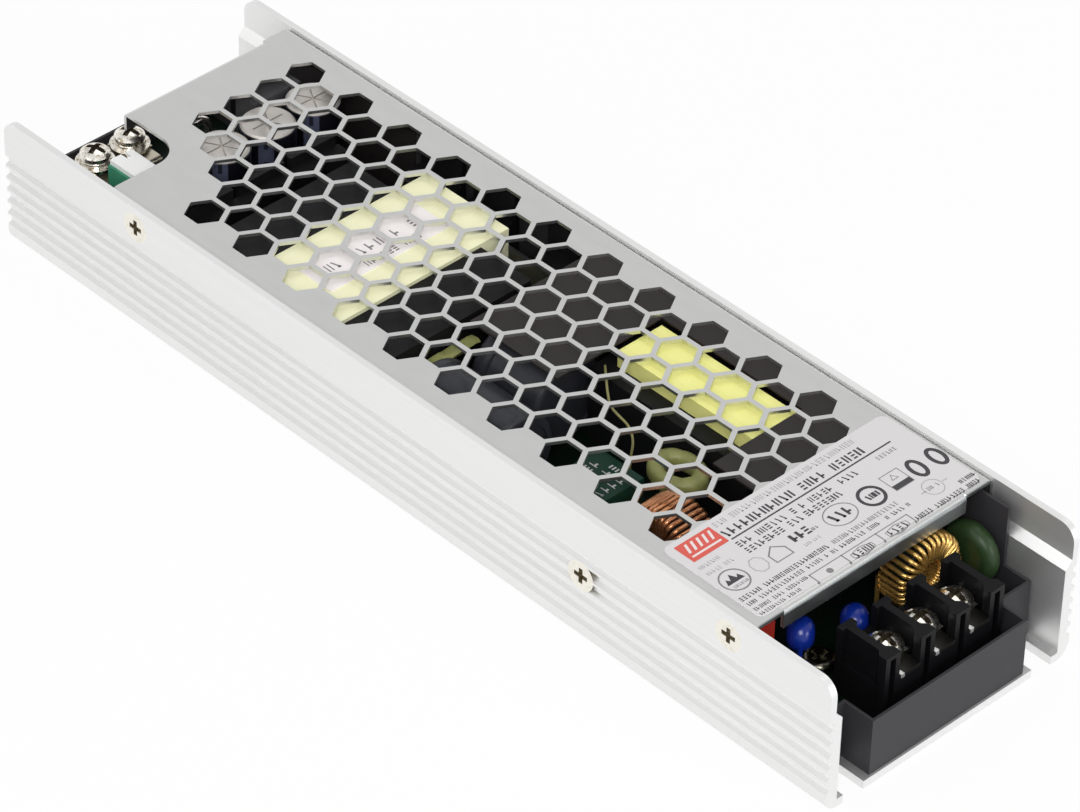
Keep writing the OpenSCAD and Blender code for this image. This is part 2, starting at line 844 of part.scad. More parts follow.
module transistor_3_lead(width, tab_t, body_t, body_h, tab_h) {
    lead_w = 0.9;
    // lies against the plane Y = 0 and reaches towards -Y
    block([-width / 2, width / 2], [-tab_t, 0], [lead_h, lead_h + tab_h]);
    block([-width / 2, width / 2], [-tab_t - body_t, -tab_t + 0.01], [lead_h, lead_h + body_h]);
    for (k = [-1 : 1])
        block([k * 2.54 - lead_w / 2, k * 2.54 + lead_w / 2],
              [-tab_t - 1.4, -tab_t - 0.8], [0, lead_h + 1]);
}

module power_transistors() {
    color([0.13, 0.13, 0.14])
    for (x = [-43, -30, -12])
        translate([x, tray_half - film_t, board_top])
            transistor_3_lead(10, 1.2, 3.2, 9.2, inner_top - board_top - lead_h);
}

// Steel strip that presses the transistors against the wall.
module transistor_clips() {
    strip_y = tray_half - film_t - 4.4;
    color([0.72, 0.73, 0.74])
    union() {
        block([-49.5, -5.5], [strip_y - 0.8, strip_y], [board_top + 6, board_top + 10.5]);
        for (x = [-37.8, -22])
            block([x - 1.5, x + 1.5], [strip_y - 0.8, strip_y], [board_top, board_top + 6.01]);
    }
}

module core_block() {
    block(trafo_x, trafo_y, [board_top + wrap_t, inner_top - label_t - wrap_t]);
}

module transformer_core() {
    color([0.17, 0.17, 0.18])
    core_block();
}

module transformer_winding() {
    color([0.93, 0.94, 0.74])
    difference() {
        block(wrap_x, wrap_y, [board_top, inner_top - label_t]);
        core_block();
    }
}

module transformer_label() {
    color([0.94, 0.94, 0.92])
    block([wrap_x[0] + 4.8, wrap_x[1] - 6.8], [trafo_y[0] + 5, trafo_y[1] - 0.5],
          [inner_top - label_t, inner_top]);
}

module optocouplers() {
    body = [3.6, 4.6, 3.4];
    color([0.92, 0.92, 0.9])
    for (y = [-16, -2]) {
        translate([opto_x, y, board_top + 0.4]) cube(body);
        for (dx = [0.3, body[0] - 0.7], dy = [0.8, 3.34])
            translate([opto_x + dx, y + dy, board_top]) cube([0.4, 0.5, 0.5]);
    }
}

module control_chips() {
    row_y = studs[1][1] - 8.7;
    color([0.1, 0.1, 0.11])
    for (p = [[18.8, row_y], [24.7, row_y], [half_l - 33, 2]])
        translate([p[0], p[1], board_top]) cube([5, 4, 1.6]);
}

// ---- Output ----------------------------------------------------------------

module rectifier_heatsink() {
    color([0.12, 0.12, 0.13])
    difference() {
        block([sink_x, sink_x + sink_t], sink_y, [board_top, sink_top]);
        for (y = sink_holes)
            translate([sink_x - 1, y, sink_hole_z])
                rotate([0, 90, 0]) cylinder(d = m3, h = sink_t + 2);
    }
}

module rectifier_transistors() {
    color([0.12, 0.12, 0.13])
    for (y = sink_holes)
        translate([sink_x, y, board_top]) rotate(-90)
            difference() {
                transistor_3_lead(10, 1.2, 2.2, sink_hole_z - 0.7 - board_top - lead_h,
                                  inner_top - 1.1 - board_top - lead_h);
                translate([0, 1, sink_hole_z - board_top])
                    rotate([90, 0, 0]) cylinder(d = m3 + 0.4, h = 3);
            }
}

module output_choke() {
    color([0.62, 0.58, 0.58])
    block([17.2 - half_l, 22.2 - half_l], [board_half - 14.6, board_half - 4.2],
          [board_top, inner_top - 1.2]);
}

module output_capacitor_cans() {
    inner_d = out_cap_d - 2 * sleeve_t;
    color([0.84, 0.79, 0.79])
    for (y = out_cap_y)
        translate([out_cap_x, y, board_top])
            difference() {
                union() {
                    cylinder(d = inner_d, h = can_h);
                    translate([0, 0, can_h - 0.01])
                        cylinder(d1 = inner_d, d2 = inner_d - 0.6, h = 0.31);
                }
                // scored vent in the can's top
                translate([0, 0, can_h + 0.1])
                    for (a = [30, 90, 150]) rotate(a) cube([inner_d * 0.7, 0.35, 0.5], center = true);
            }
}

module output_capacitor_sleeves() {
    color([0.08, 0.08, 0.1])
    for (y = out_cap_y)
        translate([out_cap_x, y, board_top])
            difference() {
                cylinder(d = out_cap_d, h = can_h - 0.1);
                translate([0, 0, -1]) cylinder(d = out_cap_d - 2 * sleeve_t, h = can_h + 2);
            }
}

module output_terminals() {
    color([0.8, 0.78, 0.7])
    for (y = post_y)
        translate([post_x, y, board_top])
            difference() {
                translate([-post_w / 2, -post_w / 2, 0]) cube([post_w, post_w, post_h]);
                translate([0, 0, 2]) cylinder(d = m3, h = post_h);
            }
}

// Copper links that leave each post level and fold down to the board.
module output_busbars() {
    bar_t = 1;
    start = post_x + post_w / 2;
    level = 3.4;
    color([0.78, 0.76, 0.7])
    for (k = [0, 1]) {
        y = [post_y[k] - post_w / 2 + 0.4, post_y[k] + post_w / 2 - 0.4];
        top = board_top + post_h - (k == 0 ? 4 : 0.4);
        difference() {
            block([start, start + level], y, [board_top, top]);
            block([start - 1, start + level - bar_t], [y[0] - 1, y[1] + 1],
                  [board_top - 1, top - bar_t]);
            translate([start + level, y[1] + 1, top])
                rotate([90, 0, 0]) rotate(180) linear_extrude(y[1] - y[0] + 2) corner_cut(bar_t);
        }
        block([start + level - bar_t, bus_end], [post_y[k] - bar_t / 2, post_y[k] + bar_t / 2],
              [board_top, board_top + 3]);
    }
}

module output_flat_washers() {
    color([0.84, 0.83, 0.8])
    for (y = post_y)
        translate([post_x, y, board_top + post_h])
            difference() {
                cylinder(d = washer_d, h = washer_t);
                translate([0, 0, -1]) cylinder(d = m3, h = 3);
            }
}

module output_spring_washers() {
    color([0.7, 0.69, 0.66])
    for (y = post_y)
        translate([post_x, y, board_top + post_h + washer_t])
            difference() {
                cylinder(d = out_head_d + 0.3, h = spring_t);
                translate([0, 0, -1]) cylinder(d = m3, h = 3);
                rotate(35) translate([0, -0.2, -1]) cube([4, 0.4, 3]);
            }
}

module output_terminal_screws() {
    head_h = 2;
    color([0.86, 0.82, 0.75])
    for (y = post_y)
        translate([post_x, y, board_top + post_h + washer_t + spring_t])
            rotate(20)
                difference() {
                    domed_screw(m3, out_head_d, head_h, washer_t + spring_t + 6);
                    // screwdriver slot that crosses the recess
                    translate([-out_head_d, -0.35, head_h - 0.7]) cube([2 * out_head_d, 0.7, 2]);
                }
}

// Small board that stands behind the near wall and carries the sense socket.
module sense_board() {
    color([0.1, 0.3, 0.16])
    block(sense_x, [sense_y, sense_y + sense_t], [board_top, sense_top - 0.9]);
}

// Socket open towards the output end, hooked over the edge of its board.
module sense_connector() {
    wall = 0.7;
    x = [sense_x[0], sense_x[0] + socket_l];
    y = [sense_y + sense_t, sense_y + sense_t + socket_out];
    low = sense_top - 5.4;
    color([0.93, 0.93, 0.9])
    difference() {
        union() {
            block(x, y, [low, sense_top]);
            block(x, [sense_y + 0.5, y[0] + 0.01], [sense_top - 0.9, sense_top]);
        }
        block([x[0] - 1, x[1] - 2], [y[0] + wall, y[1] - wall], [low + wall, sense_top - wall]);
        // slot that takes the plug's latch
        block([x[0] - 1, x[0] + 1.6], [y[0] + 1.3, y[1] - 1.3], [low + 1, sense_top + 1]);
    }
}

base_channel();
top_cover();
rating_label();
cover_screws();
bridge_clamp_screw();
bridge_clamp_nut();
insulator_tray();
insulator_sheet();
circuit_board();
board_studs();
board_screws();
input_terminal_block();
input_contact_plates();
input_terminal_screws();
input_fuse();
line_filter_capacitor();
safety_capacitors();
surge_varistor();
line_choke_core();
line_choke_winding();
filter_choke_core();
filter_choke_winding();
film_capacitor();
bridge_rectifier();
boost_choke_core();
boost_choke_winding();
bulk_capacitors();
capacitor_adhesive();
power_transistors();
transistor_clips();
transformer_core();
transformer_winding();
transformer_label();
rectifier_heatsink();
rectifier_transistors();
output_choke();
output_capacitor_cans();
output_capacitor_sleeves();
output_busbars();
output_terminals();
output_flat_washers();
output_spring_washers();
output_terminal_screws();
sense_board();
sense_connector();
optocouplers();
control_chips();
thermal_pad();
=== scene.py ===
# %% [markdown]
# # A slim switching power supply
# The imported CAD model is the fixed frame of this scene. Its solids keep their places, and this
# script gives each of them a finish, winds the two ring chokes turn by turn, prints the label with
# plain marks and sets up a small studio. Lengths are in metres, and one millimetre is `MM`.

# %% Load the frame
import json
import math

import bmesh
import bpy
from mathutils import Matrix, Vector

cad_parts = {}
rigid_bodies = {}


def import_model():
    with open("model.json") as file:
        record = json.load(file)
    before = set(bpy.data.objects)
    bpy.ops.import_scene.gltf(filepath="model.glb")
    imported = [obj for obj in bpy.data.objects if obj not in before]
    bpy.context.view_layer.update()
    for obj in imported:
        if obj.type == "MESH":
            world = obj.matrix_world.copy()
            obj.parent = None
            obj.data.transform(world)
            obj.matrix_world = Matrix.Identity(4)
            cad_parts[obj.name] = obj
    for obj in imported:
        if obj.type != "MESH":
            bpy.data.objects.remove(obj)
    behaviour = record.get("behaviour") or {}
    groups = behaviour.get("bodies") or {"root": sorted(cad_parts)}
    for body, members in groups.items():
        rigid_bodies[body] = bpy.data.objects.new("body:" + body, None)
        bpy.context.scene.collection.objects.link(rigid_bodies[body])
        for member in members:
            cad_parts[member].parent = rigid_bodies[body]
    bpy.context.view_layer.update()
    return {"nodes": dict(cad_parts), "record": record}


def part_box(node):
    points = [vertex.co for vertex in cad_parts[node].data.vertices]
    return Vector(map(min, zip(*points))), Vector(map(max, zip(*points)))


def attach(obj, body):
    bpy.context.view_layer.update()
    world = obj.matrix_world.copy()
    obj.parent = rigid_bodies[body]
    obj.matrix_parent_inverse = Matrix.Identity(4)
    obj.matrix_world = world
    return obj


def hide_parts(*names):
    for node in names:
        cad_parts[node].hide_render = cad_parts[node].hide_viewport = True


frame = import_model()
nodes = frame["nodes"]
MM = 0.001

print("nodes:", len(nodes))

# %% [markdown]
# ## Camera
# The supply lies corner first, seen from above its mains end with a long lens. The axes of the
# camera are written out, so that its slight roll is kept. A long lens keeps the far end nearly as
# large as the near one, as in catalogue pictures.

# %% Camera
CAMERA_PLACE = (0.50468, -0.49191, 0.57410)
CAMERA_LOOK = (-0.55497, 0.54683, -0.62689)
CAMERA_UP = (-0.46448, 0.42148, 0.77885)

camera = bpy.data.objects.new("camera", bpy.data.cameras.new("camera"))
bpy.context.scene.collection.objects.link(camera)
bpy.context.scene.camera = camera
camera.data.sensor_width = 36
camera.data.lens = 184.6
camera.data.clip_start = 0.05
camera.data.clip_end = 20
look = Vector(CAMERA_LOOK).normalized()
right = look.cross(Vector(CAMERA_UP)).normalized()
axes = Matrix((right, right.cross(look), -look)).transposed().to_4x4()
camera.matrix_world = Matrix.Translation(CAMERA_PLACE) @ axes
bpy.context.scene.view_settings.view_transform = "Standard"
print("camera at", [round(v, 3) for v in camera.location])

# %% [markdown]
# ## Nodes as sums
# A finish is mostly arithmetic on patterns: a streak times a strength, one minus a mask. `Value`
# wraps a socket, so that such a sum is written as a sum and each operator adds its Math node.
# `Graph` holds a node tree and adds any other node with one method, its settings before its
# sockets. The same two classes serve the finishes, the world and the Geometry Nodes further down.

# %% Value
class Value:
    """A socket; each operator on it adds a Math node to its tree."""

    def __init__(self, graph, socket):
        self.graph, self.socket = graph, socket

    def math(self, operation, other=0.0, swapped=False):
        pair = (other, self) if swapped else (self, other)
        return self.graph.add("ShaderNodeMath", {"operation": operation}, dict(enumerate(pair)))

    def __add__(self, other):
        return self.math("ADD", other)

    def __radd__(self, other):
        return self.math("ADD", other, True)

    def __sub__(self, other):
        return self.math("SUBTRACT", other)

    def __rsub__(self, other):
        return self.math("SUBTRACT", other, True)

    def __mul__(self, other):
        return self.math("MULTIPLY", other)

    def __rmul__(self, other):
        return self.math("MULTIPLY", other, True)

    def __truediv__(self, other):
        return self.math("DIVIDE", other)

    def __rtruediv__(self, other):
        return self.math("DIVIDE", other, True)

    def __gt__(self, other):
        return self.math("GREATER_THAN", other)

    def __lt__(self, other):
        return self.math("LESS_THAN", other)


print("operators ready")

# %% Graph
class Graph:
    """A node tree, with one method that fills a socket and one that adds a node."""

    def __init__(self, tree):
        self.tree = tree

    def feed(self, socket, value):
        """Link a value to a socket, or write a plain number or colour into it."""
        if isinstance(value, Value):
            self.tree.links.new(value.socket, socket)
        else:
            socket.default_value = value

    def add(self, kind, settings=None, sockets=None, out=0):
        node = self.tree.nodes.new(kind)
        for key, value in (settings or {}).items():
            setattr(node, key, value)
        for key, value in (sockets or {}).items():
            self.feed(node.inputs[key], value)
        return Value(self, node.outputs[out])

    def ray(self, kind):
        """1 for rays of that kind, else 0."""
        return self.add("ShaderNodeLightPath", out=f"Is {kind} Ray")

    def backdrop(self, share, plain, white, output):
        """Show the white shader in place of the plain one, to the share given."""
        both = self.add("ShaderNodeMixShader", sockets={0: share, 1: plain, 2: white})
        self.feed(self.tree.nodes[output].inputs["Surface"], both)


print("node trees ready")

# %% [markdown]
# ## Finishes
# `Finish` is a graph that starts from a Principled BSDF. It measures Object coordinates in
# millimetres, so that a grain or a stripe has its real size, and it knows the few steps that most
# finishes share: noise, a place along an axis, a blend of two colours and a bump.

# %% Finish
COLOR_A, COLOR_B, COLOR_OUT = 6, 7, 2  # the colour sockets of a Mix node


class Finish(Graph):
    """A material, told in the terms of its surface."""

    def __init__(self, name, color, rough, metal=0.0, coat=0.0, coat_rough=0.1, specular=0.5):
        self.material = bpy.data.materials.new(name)
        self.material.use_nodes = True
        super().__init__(self.material.node_tree)
        self.shader = self.tree.nodes["Principled BSDF"]
        self.color = color
        self.set("Base Color", (*color, 1))
        self.set("Roughness", rough)
        self.set("Metallic", metal)
        self.set("Coat Weight", coat)
        self.set("Coat Roughness", coat_rough)
        self.set("Specular IOR Level", specular)

    def set(self, socket, value):
        self.feed(self.shader.inputs[socket], value)

    def place(self, scale=(1, 1, 1)):
        """Object coordinates in millimetres, stretched by scale."""
        where = self.add("ShaderNodeTexCoord", out="Object")
        per_metre = tuple(s / MM for s in scale)
        return self.add("ShaderNodeMapping", sockets={"Vector": where, "Scale": per_metre})

    def noise(self, scale=(1, 1, 1), detail=2.0, rough=0.5):
        where = self.place(scale)
        sockets = {"Vector": where, "Scale": 1.0, "Detail": detail, "Roughness": rough}
        return self.add("ShaderNodeTexNoise", sockets=sockets)

    def axis(self, letter):
        """One of the Object coordinates, in millimetres."""
        return self.add("ShaderNodeSeparateXYZ", sockets={"Vector": self.place()}, out=letter)

    def blend(self, mask, a, b):
        """Colour a where mask is 0 and colour b where it is 1."""
        tints = [tint if isinstance(tint, Value) else (*tint, 1) for tint in (a, b)]
        sockets = {0: mask, COLOR_A: tints[0], COLOR_B: tints[1]}
        return self.add("ShaderNodeMix", {"data_type": "RGBA"}, sockets, out=COLOR_OUT)

    def bump(self, height, depth, strength=1.0):
        """Raise the surface by height times depth millimetres."""
        sockets = {"Height": height, "Distance": depth * MM, "Strength": strength}
        self.set("Normal", self.add("ShaderNodeBump", sockets=sockets))
        return self


def shades(color, spread):
    """A colour made darker and lighter by a share of itself."""
    darker = tuple(c * (1 - spread) for c in color)
    lighter = tuple(min(1, c * (1 + spread)) for c in color)
    return darker, lighter


print("finishes can be made")

# %% [markdown]
# ## Metals
# The case is an extrusion with a satin anodised skin: it shows a fine grain and faint streaks along
# its length. The cover is rolled sheet with a flatter, greyer skin, and its folded lip carries a
# painted shade for the dark parts that it mirrors. One function makes all plain metals from a
# colour, a grain size and the direction of the streaks, which also shift the roughness a little.

# %% Metal finishes
def metal(name, color, rough, shine, grain, streak, depth, spread):
    finish = Finish(name, color, rough, metal=shine)
    grainy = finish.noise((grain,) * 3, 3.0, 0.6)
    lines = finish.noise(streak, 2.0)
    finish.set("Base Color", finish.blend(lines, *shades(color, spread)))
    finish.set("Roughness", rough - 0.08 + 0.16 * (0.6 * grainy + 0.4 * lines))
    return finish.bump(grainy, depth, 0.5)


FINISHES = {
    "case_aluminium": metal(
        "satin_anodised_extrusion", (0.83, 0.83, 0.825), rough=0.43, shine=0.86,
        grain=5.0, streak=(0.02, 2.2, 2.2), depth=0.02, spread=0.03,
    ),
    "cover_metal": metal(
        "satin_rolled_sheet", (0.66, 0.665, 0.655), rough=0.31, shine=0.97,
        grain=4.0, streak=(0.15, 0.5, 0.5), depth=0.012, spread=0.03,
    ),
    "spring_steel": metal(
        "spring_steel", (0.42, 0.42, 0.43), rough=0.3, shine=1.0,
        grain=2.0, streak=(0.5, 0.5, 3.0), depth=0.02, spread=0.1,
    ),
    "busbar_metal": metal(
        "tinned_copper", (0.62, 0.57, 0.47), rough=0.34, shine=1.0,
        grain=1.5, streak=(0.6, 0.6, 2.0), depth=0.02, spread=0.12,
    ),
    "can_top": metal(
        "drawn_can", (0.60, 0.565, 0.53), rough=0.4, shine=0.5,
        grain=2.5, streak=(0.8, 0.8, 0.8), depth=0.02, spread=0.06,
    ),
}
LIP_DEPTH = 0.25  # of the cover's folded lip, in millimetres


def paint_lip_shade(finish, node):
    """Paint shade on the folded lip at the mains end, for the dark parts that it mirrors."""
    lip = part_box(node)[1].x / MM - LIP_DEPTH
    plain = Value(finish, finish.shader.inputs["Base Color"].links[0].from_socket)
    mask = finish.axis("X") > lip
    # painted shade: the lip's colour is blended towards a dark grey
    finish.set("Base Color", finish.blend(mask * 0.85, plain, (0.30, 0.325, 0.33)))


paint_lip_shade(FINISHES["cover_metal"], "top_cover")
print("metals:", len(FINISHES))

# %% [markdown]
# ## Screws
# A screw is where a bright metal meets a dark hole: the plating carries painted reflections, a
# mottle of warm and dark patches, and the recess carries painted shade. The mask of each recess is
# a small
# sum on Object coordinates: how far a point lies under the dome of its head, and how far from its
# middle. The screws of a row share one sum, which repeats at their pitch.

# %% Screw plating
# dark and bright are the colours of the painted reflections; the last colour is the painted shade
# in the recess
def screw_plate(
    name, recess=None, dark=(0.34, 0.28, 0.20), bright=(0.90, 0.87, 0.80), rough=0.2,
    recess_shade=(0.10, 0.078, 0.05),
):
    finish = Finish(name, bright, rough, metal=1.0)
    # painted reflections: noise mottles the plating between the dark and the bright colour
    reflection_mottle = finish.noise((1.3,) * 3, 3.0, 0.7)
    reflection_patches = finish.add(
        "ShaderNodeMapRange", sockets={"Value": reflection_mottle, "From Min": 0.34, "From Max": 0.5}
    )
    color = finish.blend(reflection_patches, dark, bright)
    gloss = rough + 0.12 * reflection_mottle
    if recess:
        mask = recess(finish)
        # painted shade: the recess is blended towards its dark colour
        color = finish.blend(mask * (0.5 + 0.9 * reflection_mottle), color, recess_shade)
        gloss = gloss + 0.35 * mask
    finish.set("Base Color", color)
    finish.set("Roughness", gloss)
    return finish


FINISHES["screw_nickel"] = screw_plate("nickel_plate")
FINISHES["board_hardware"] = screw_plate(
    "board_plate", dark=(0.05, 0.048, 0.04), bright=(0.22, 0.21, 0.17)
)
print("finishes:", len(FINISHES))

# %% Recess masks
RECESS_DROP = 0.14  # under the dome, in millimetres, from where a point counts as recess
PITCHES_AHEAD = 20  # added so that the place along a row stays positive


def along_row(finish, middle, pitch):
    """Distance from the nearest piece of a row along Y, in millimetres."""
    place = finish.axis("Y") + (PITCHES_AHEAD * pitch - middle)
    return place.math("PINGPONG", pitch / 2)


def under_dome(node, first, pitch, drop, reach):
    """Mask of the recesses of domed heads: first is the place of one of them from the row's
    middle, drop is the dome's fall per square millimetre, reach is the recess's radius."""
    low, high = (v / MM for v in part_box(node))
    middle = (low + high) / 2

    def recess(finish):
        across = finish.axis("X") - middle.x
        along = along_row(finish, middle.y + first, pitch)
        distance = across * across + along * along
        deep = finish.axis("Z") + drop * distance < high.z - RECESS_DROP
        return deep * (distance < reach * reach)

    return recess


def in_wall(depth):
    """Mask of the recesses of screws that lie flush in the two side walls."""
    return lambda finish: finish.axis("Y").math("ABSOLUTE") < depth


print("masks ready")

# %% Screws with a recess
WALL_RECESS = 0.12  # under the wall's face, in millimetres
POLE_PITCH = 7.75
OUTPUT_PITCH = 7.6

wall_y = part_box("base_channel")[1].y / MM
FINISHES["mains_screw"] = screw_plate(
    "mains_screw", under_dome("input_terminal_screws", 0.0, POLE_PITCH, drop=0.125, reach=2.2)
)
FINISHES["output_screw"] = screw_plate(
    "output_screw",
    under_dome("output_terminal_screws", -OUTPUT_PITCH / 2, OUTPUT_PITCH, drop=0.134, reach=1.9),
)
# the wall screws get a lighter painted shade in their cross recess
FINISHES["wall_screw"] = screw_plate(
    "wall_screw", in_wall(wall_y - WALL_RECESS),
    dark=(0.80, 0.76, 0.66), bright=(0.90, 0.87, 0.79), rough=0.34, recess_shade=(0.22, 0.18, 0.10),
)
print("finishes:", len(FINISHES))

# %% [markdown]
# ## Contact plates
# The plates under the mains screws carry painted shade: nearly black. A painted highlight lies at
# one front corner, so the mask is the front edge times a short stretch along the row.

# %% Contact plate finish
# painted highlight: where it lies and how far it reaches
PAINTED_HIGHLIGHT_DEPTH = 0.9  # from the front edge, in millimetres
PAINTED_HIGHLIGHT_SHIFT = 2.0  # from a plate's middle along the row
PAINTED_HIGHLIGHT_REACH = 0.85


def contact_plate():
    # painted shade: the plate's own colour is nearly black
    finish = Finish("contact_plate", (0.05, 0.048, 0.045), 0.36, metal=1.0)
    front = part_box("input_contact_plates")[1].x / MM
    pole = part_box("input_terminal_screws")
    middle = (pole[0].y + pole[1].y) / 2 / MM
    along = along_row(finish, middle - PAINTED_HIGHLIGHT_SHIFT, POLE_PITCH)
    edge = finish.axis("X") > front - PAINTED_HIGHLIGHT_DEPTH
    # painted highlight: a bright spot at one front corner of each plate
    painted_highlight = edge * (along + 0.5 * finish.noise((1.5,) * 3) < PAINTED_HIGHLIGHT_REACH)
    finish.set("Base Color", finish.blend(painted_highlight, finish.color, (0.92, 0.92, 0.90)))
    return finish


FINISHES["contact_plate"] = contact_plate()
print("finishes:", len(FINISHES))

# %% [markdown]
# ## Plastics, films and coatings
# Mouldings have a fine eroded grain. Films and shrink sleeves are smoother and catch a soft
# highlight. Dipped parts such as the blue discs are glossy with slow waves from the dip. Each is a
# colour, a grain and a specular level, and the grain also shifts the colour a little.

# %% Plastic finishes
def plastic(name, color, rough, grain, depth, spread=0.12, specular=0.5):
    finish = Finish(name, color, rough, specular=specular)
    fine = finish.noise((grain,) * 3, 3.0, 0.6)
    slow = finish.noise((0.25,) * 3, 2.0)
    finish.set("Base Color", finish.blend(0.5 * fine + 0.5 * slow, *shades(color, spread)))
    finish.set("Roughness", rough - 0.06 + 0.12 * fine)
    return finish.bump(fine, depth, 0.6)


PLASTICS = (  # slot, name, colour, roughness, grain, depth in millimetres, specular level
    ("black_film", "black_folded_film", (0.040, 0.038, 0.042), 0.42, 1.2, 0.01, 0.15),
    ("grey_film", "dark_grey_film", (0.022, 0.018, 0.018), 0.5, 1.5, 0.01, 0.2),
    ("terminal_plastic", "black_terminal_moulding", (0.006, 0.006, 0.007), 0.36, 3.5, 0.02, 0.10),
    ("black_moulding", "epoxy_moulding", (0.008, 0.008, 0.009), 0.5, 4.0, 0.03, 0.15),
    ("ferrite", "grey_ferrite", (0.009, 0.009, 0.010), 0.55, 3.0, 0.04, 0.15),
    ("core_coat", "core_coating", (0.008, 0.012, 0.008), 0.5, 2.0, 0.03, 0.2),
    ("film_cap", "dark_green_case", (0.003, 0.030, 0.018), 0.3, 2.0, 0.01, 0.15),
    ("red_box", "red_case", (0.30, 0.022, 0.012), 0.3, 2.0, 0.01, 0.3),
    ("blue_disc", "blue_dip", (0.005, 0.022, 0.23), 0.22, 0.7, 0.05, 0.4),
    ("olive_disc", "olive_dip", (0.022, 0.045, 0.016), 0.36, 0.6, 0.06, 0.25),
    ("grey_sleeve", "grey_shrink_sleeve", (0.036, 0.037, 0.045), 0.34, 1.0, 0.02, 0.3),
    ("adhesive", "silicone_glue", (0.32, 0.31, 0.26), 0.4, 0.8, 0.15, 0.3),
    ("filter_block", "potted_block", (0.075, 0.075, 0.08), 0.5, 2.5, 0.03, 0.2),
    ("fuse_body", "fuse_cap", (0.008, 0.008, 0.009), 0.4, 1.5, 0.01, 0.2),
    ("pad", "grey_gap_pad", (0.2, 0.24, 0.28), 0.7, 1.5, 0.03, 0.5),
    ("sink_aluminium", "black_anodised_sheet", (0.008, 0.008, 0.009), 0.5, 3.0, 0.02, 0.12),
    ("sleeved_wire", "sleeved_wire", (0.30, 0.28, 0.12), 0.35, 1.0, 0.02, 0.35),
)
for slot, name, color, rough, grain, depth, level in PLASTICS:
    FINISHES[slot] = plastic(name, color, rough, grain, depth, specular=level)
FINISHES |= {
    "white_plastic": plastic("white_nylon", (0.93, 0.93, 0.91), 0.4, 2.0, 0.01, spread=0.04),
    "white_label": plastic("white_paper", (0.93, 0.88, 0.87), 0.5, 4.0, 0.01, spread=0.03),
    "label_film": plastic(
        "pale_label_film", (0.68, 0.66, 0.67), 0.42, 6.0, 0.004, spread=0.015
    ),
    "olive_film": plastic(
        "olive_film", (0.30, 0.31, 0.11), 0.4, 0.5, 0.15, spread=0.35, specular=0.35
    ),
}
print("finishes:", len(FINISHES))

# %% [markdown]
# ## Striped sleeves
# The sleeve of an electrolytic capacitor carries a grey stripe down the side of its negative lead.
# The cans stand in a row, so one sum gives the place across each can, and the stripe is where that
# place is near zero on the side that faces the middle of the board.

# %% Sleeve finish
STRIPE_HALF = 1.9  # half the stripe's width, in millimetres
DASH_PITCH = 2.2
DASH_LENGTH = 0.9
DASH_HALF = 0.5


def striped_sleeve():
    finish = Finish("striped_sleeve", (0.006, 0.006, 0.010), 0.3, specular=0.3)
    low, high = (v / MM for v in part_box("output_capacitor_cans"))
    can = high.x - low.x
    pitch = (high.y - low.y - can) / 2
    place = finish.axis("Y") - (low.y + can / 2 - pitch / 2)
    along = place.math("FLOORED_MODULO", pitch) - pitch / 2
    out = finish.axis("X") - (low.x + high.x) / 2
    side = (out + along).math("ABSOLUTE")
    stripe = (side < STRIPE_HALF) * (out - along > 0.0)
    dashes = finish.axis("Z").math("PINGPONG", DASH_PITCH) < DASH_LENGTH
    dash = stripe * dashes * (side < DASH_HALF)
    grey = finish.blend(stripe * 0.9 - dash * 0.75, finish.color, (0.085, 0.095, 0.15))
    finish.set("Base Color", grey)
    return finish


FINISHES["black_sleeve"] = striped_sleeve()
print("finishes:", len(FINISHES))

# %% [markdown]
# ## Tape and boards
# Tape on a winding shows its layers: faint lines where one turn of tape ends over another, and a
# little slow, uneven darkening. A solder mask is a green coat over copper tracks, which lift
# it by some hundredths of a millimetre. The tracks are a brick pattern turned along the board.

# %% Tape and board finishes
TAPE_AHEAD = 500.0  # added so that the place along a winding stays positive
TAPE_EDGE = 0.12  # half the width of a tape's edge line, in millimetres


def tape(name, color, under, axis, pitch):
    finish = Finish(name, color, 0.35, coat=0.1)
    edge = (finish.axis(axis) + TAPE_AHEAD).math("PINGPONG", pitch / 2) < TAPE_EDGE
    slow = finish.noise((0.35,) * 3, 2.0)
    finish.set("Base Color", finish.blend(edge * 0.2 + slow * 0.4, color, under))
    finish.set("Roughness", 0.28 + 0.18 * slow)
    return finish.bump(slow * 0.6 + edge * -0.4, 0.12, 0.6)


def solder_mask(name, color, track):
    finish = Finish(name, color, 0.3, specular=0.25)
    bricks = finish.add(
        "ShaderNodeTexBrick",
        {"offset": 0.37, "squash": 0.6, "squash_frequency": 3},
        {
            "Vector": finish.place((0.22, 0.3, 0.3)), "Scale": 1.0,
            "Mortar Size": 0.12, "Mortar Smooth": 0.1,
        },
        out="Fac",
    )
    finish.set("Base Color", finish.blend(bricks, color, track))
    finish.set("Roughness", 0.26 + 0.1 * bricks)
    return finish.bump(bricks, 0.05, 0.5)


FINISHES |= {
    "yellow_tape": tape("yellow_tape", (0.95, 0.94, 0.34), (0.86, 0.84, 0.24), "Y", 3.3),
    "pale_tape": tape("pale_yellow_tape", (0.96, 0.95, 0.66), (0.90, 0.89, 0.52), "X", 6.8),
    "board": solder_mask("green_solder_mask", (0.0015, 0.005, 0.003), (0.003, 0.009, 0.005)),
    "small_board": solder_mask(
        "small_green_solder_mask", (0.03, 0.19, 0.10), (0.05, 0.26, 0.15)
    ),
}
print("finishes:", len(FINISHES))

# %% [markdown]
# ## Enamelled wire
# Magnet wire is copper under a clear enamel, which gives each turn a narrow, warm highlight. The
# line choke has thick golden wire and the filter choke redder wire. Both keep the metal's colour in
# the reflection and a thin coat on top.

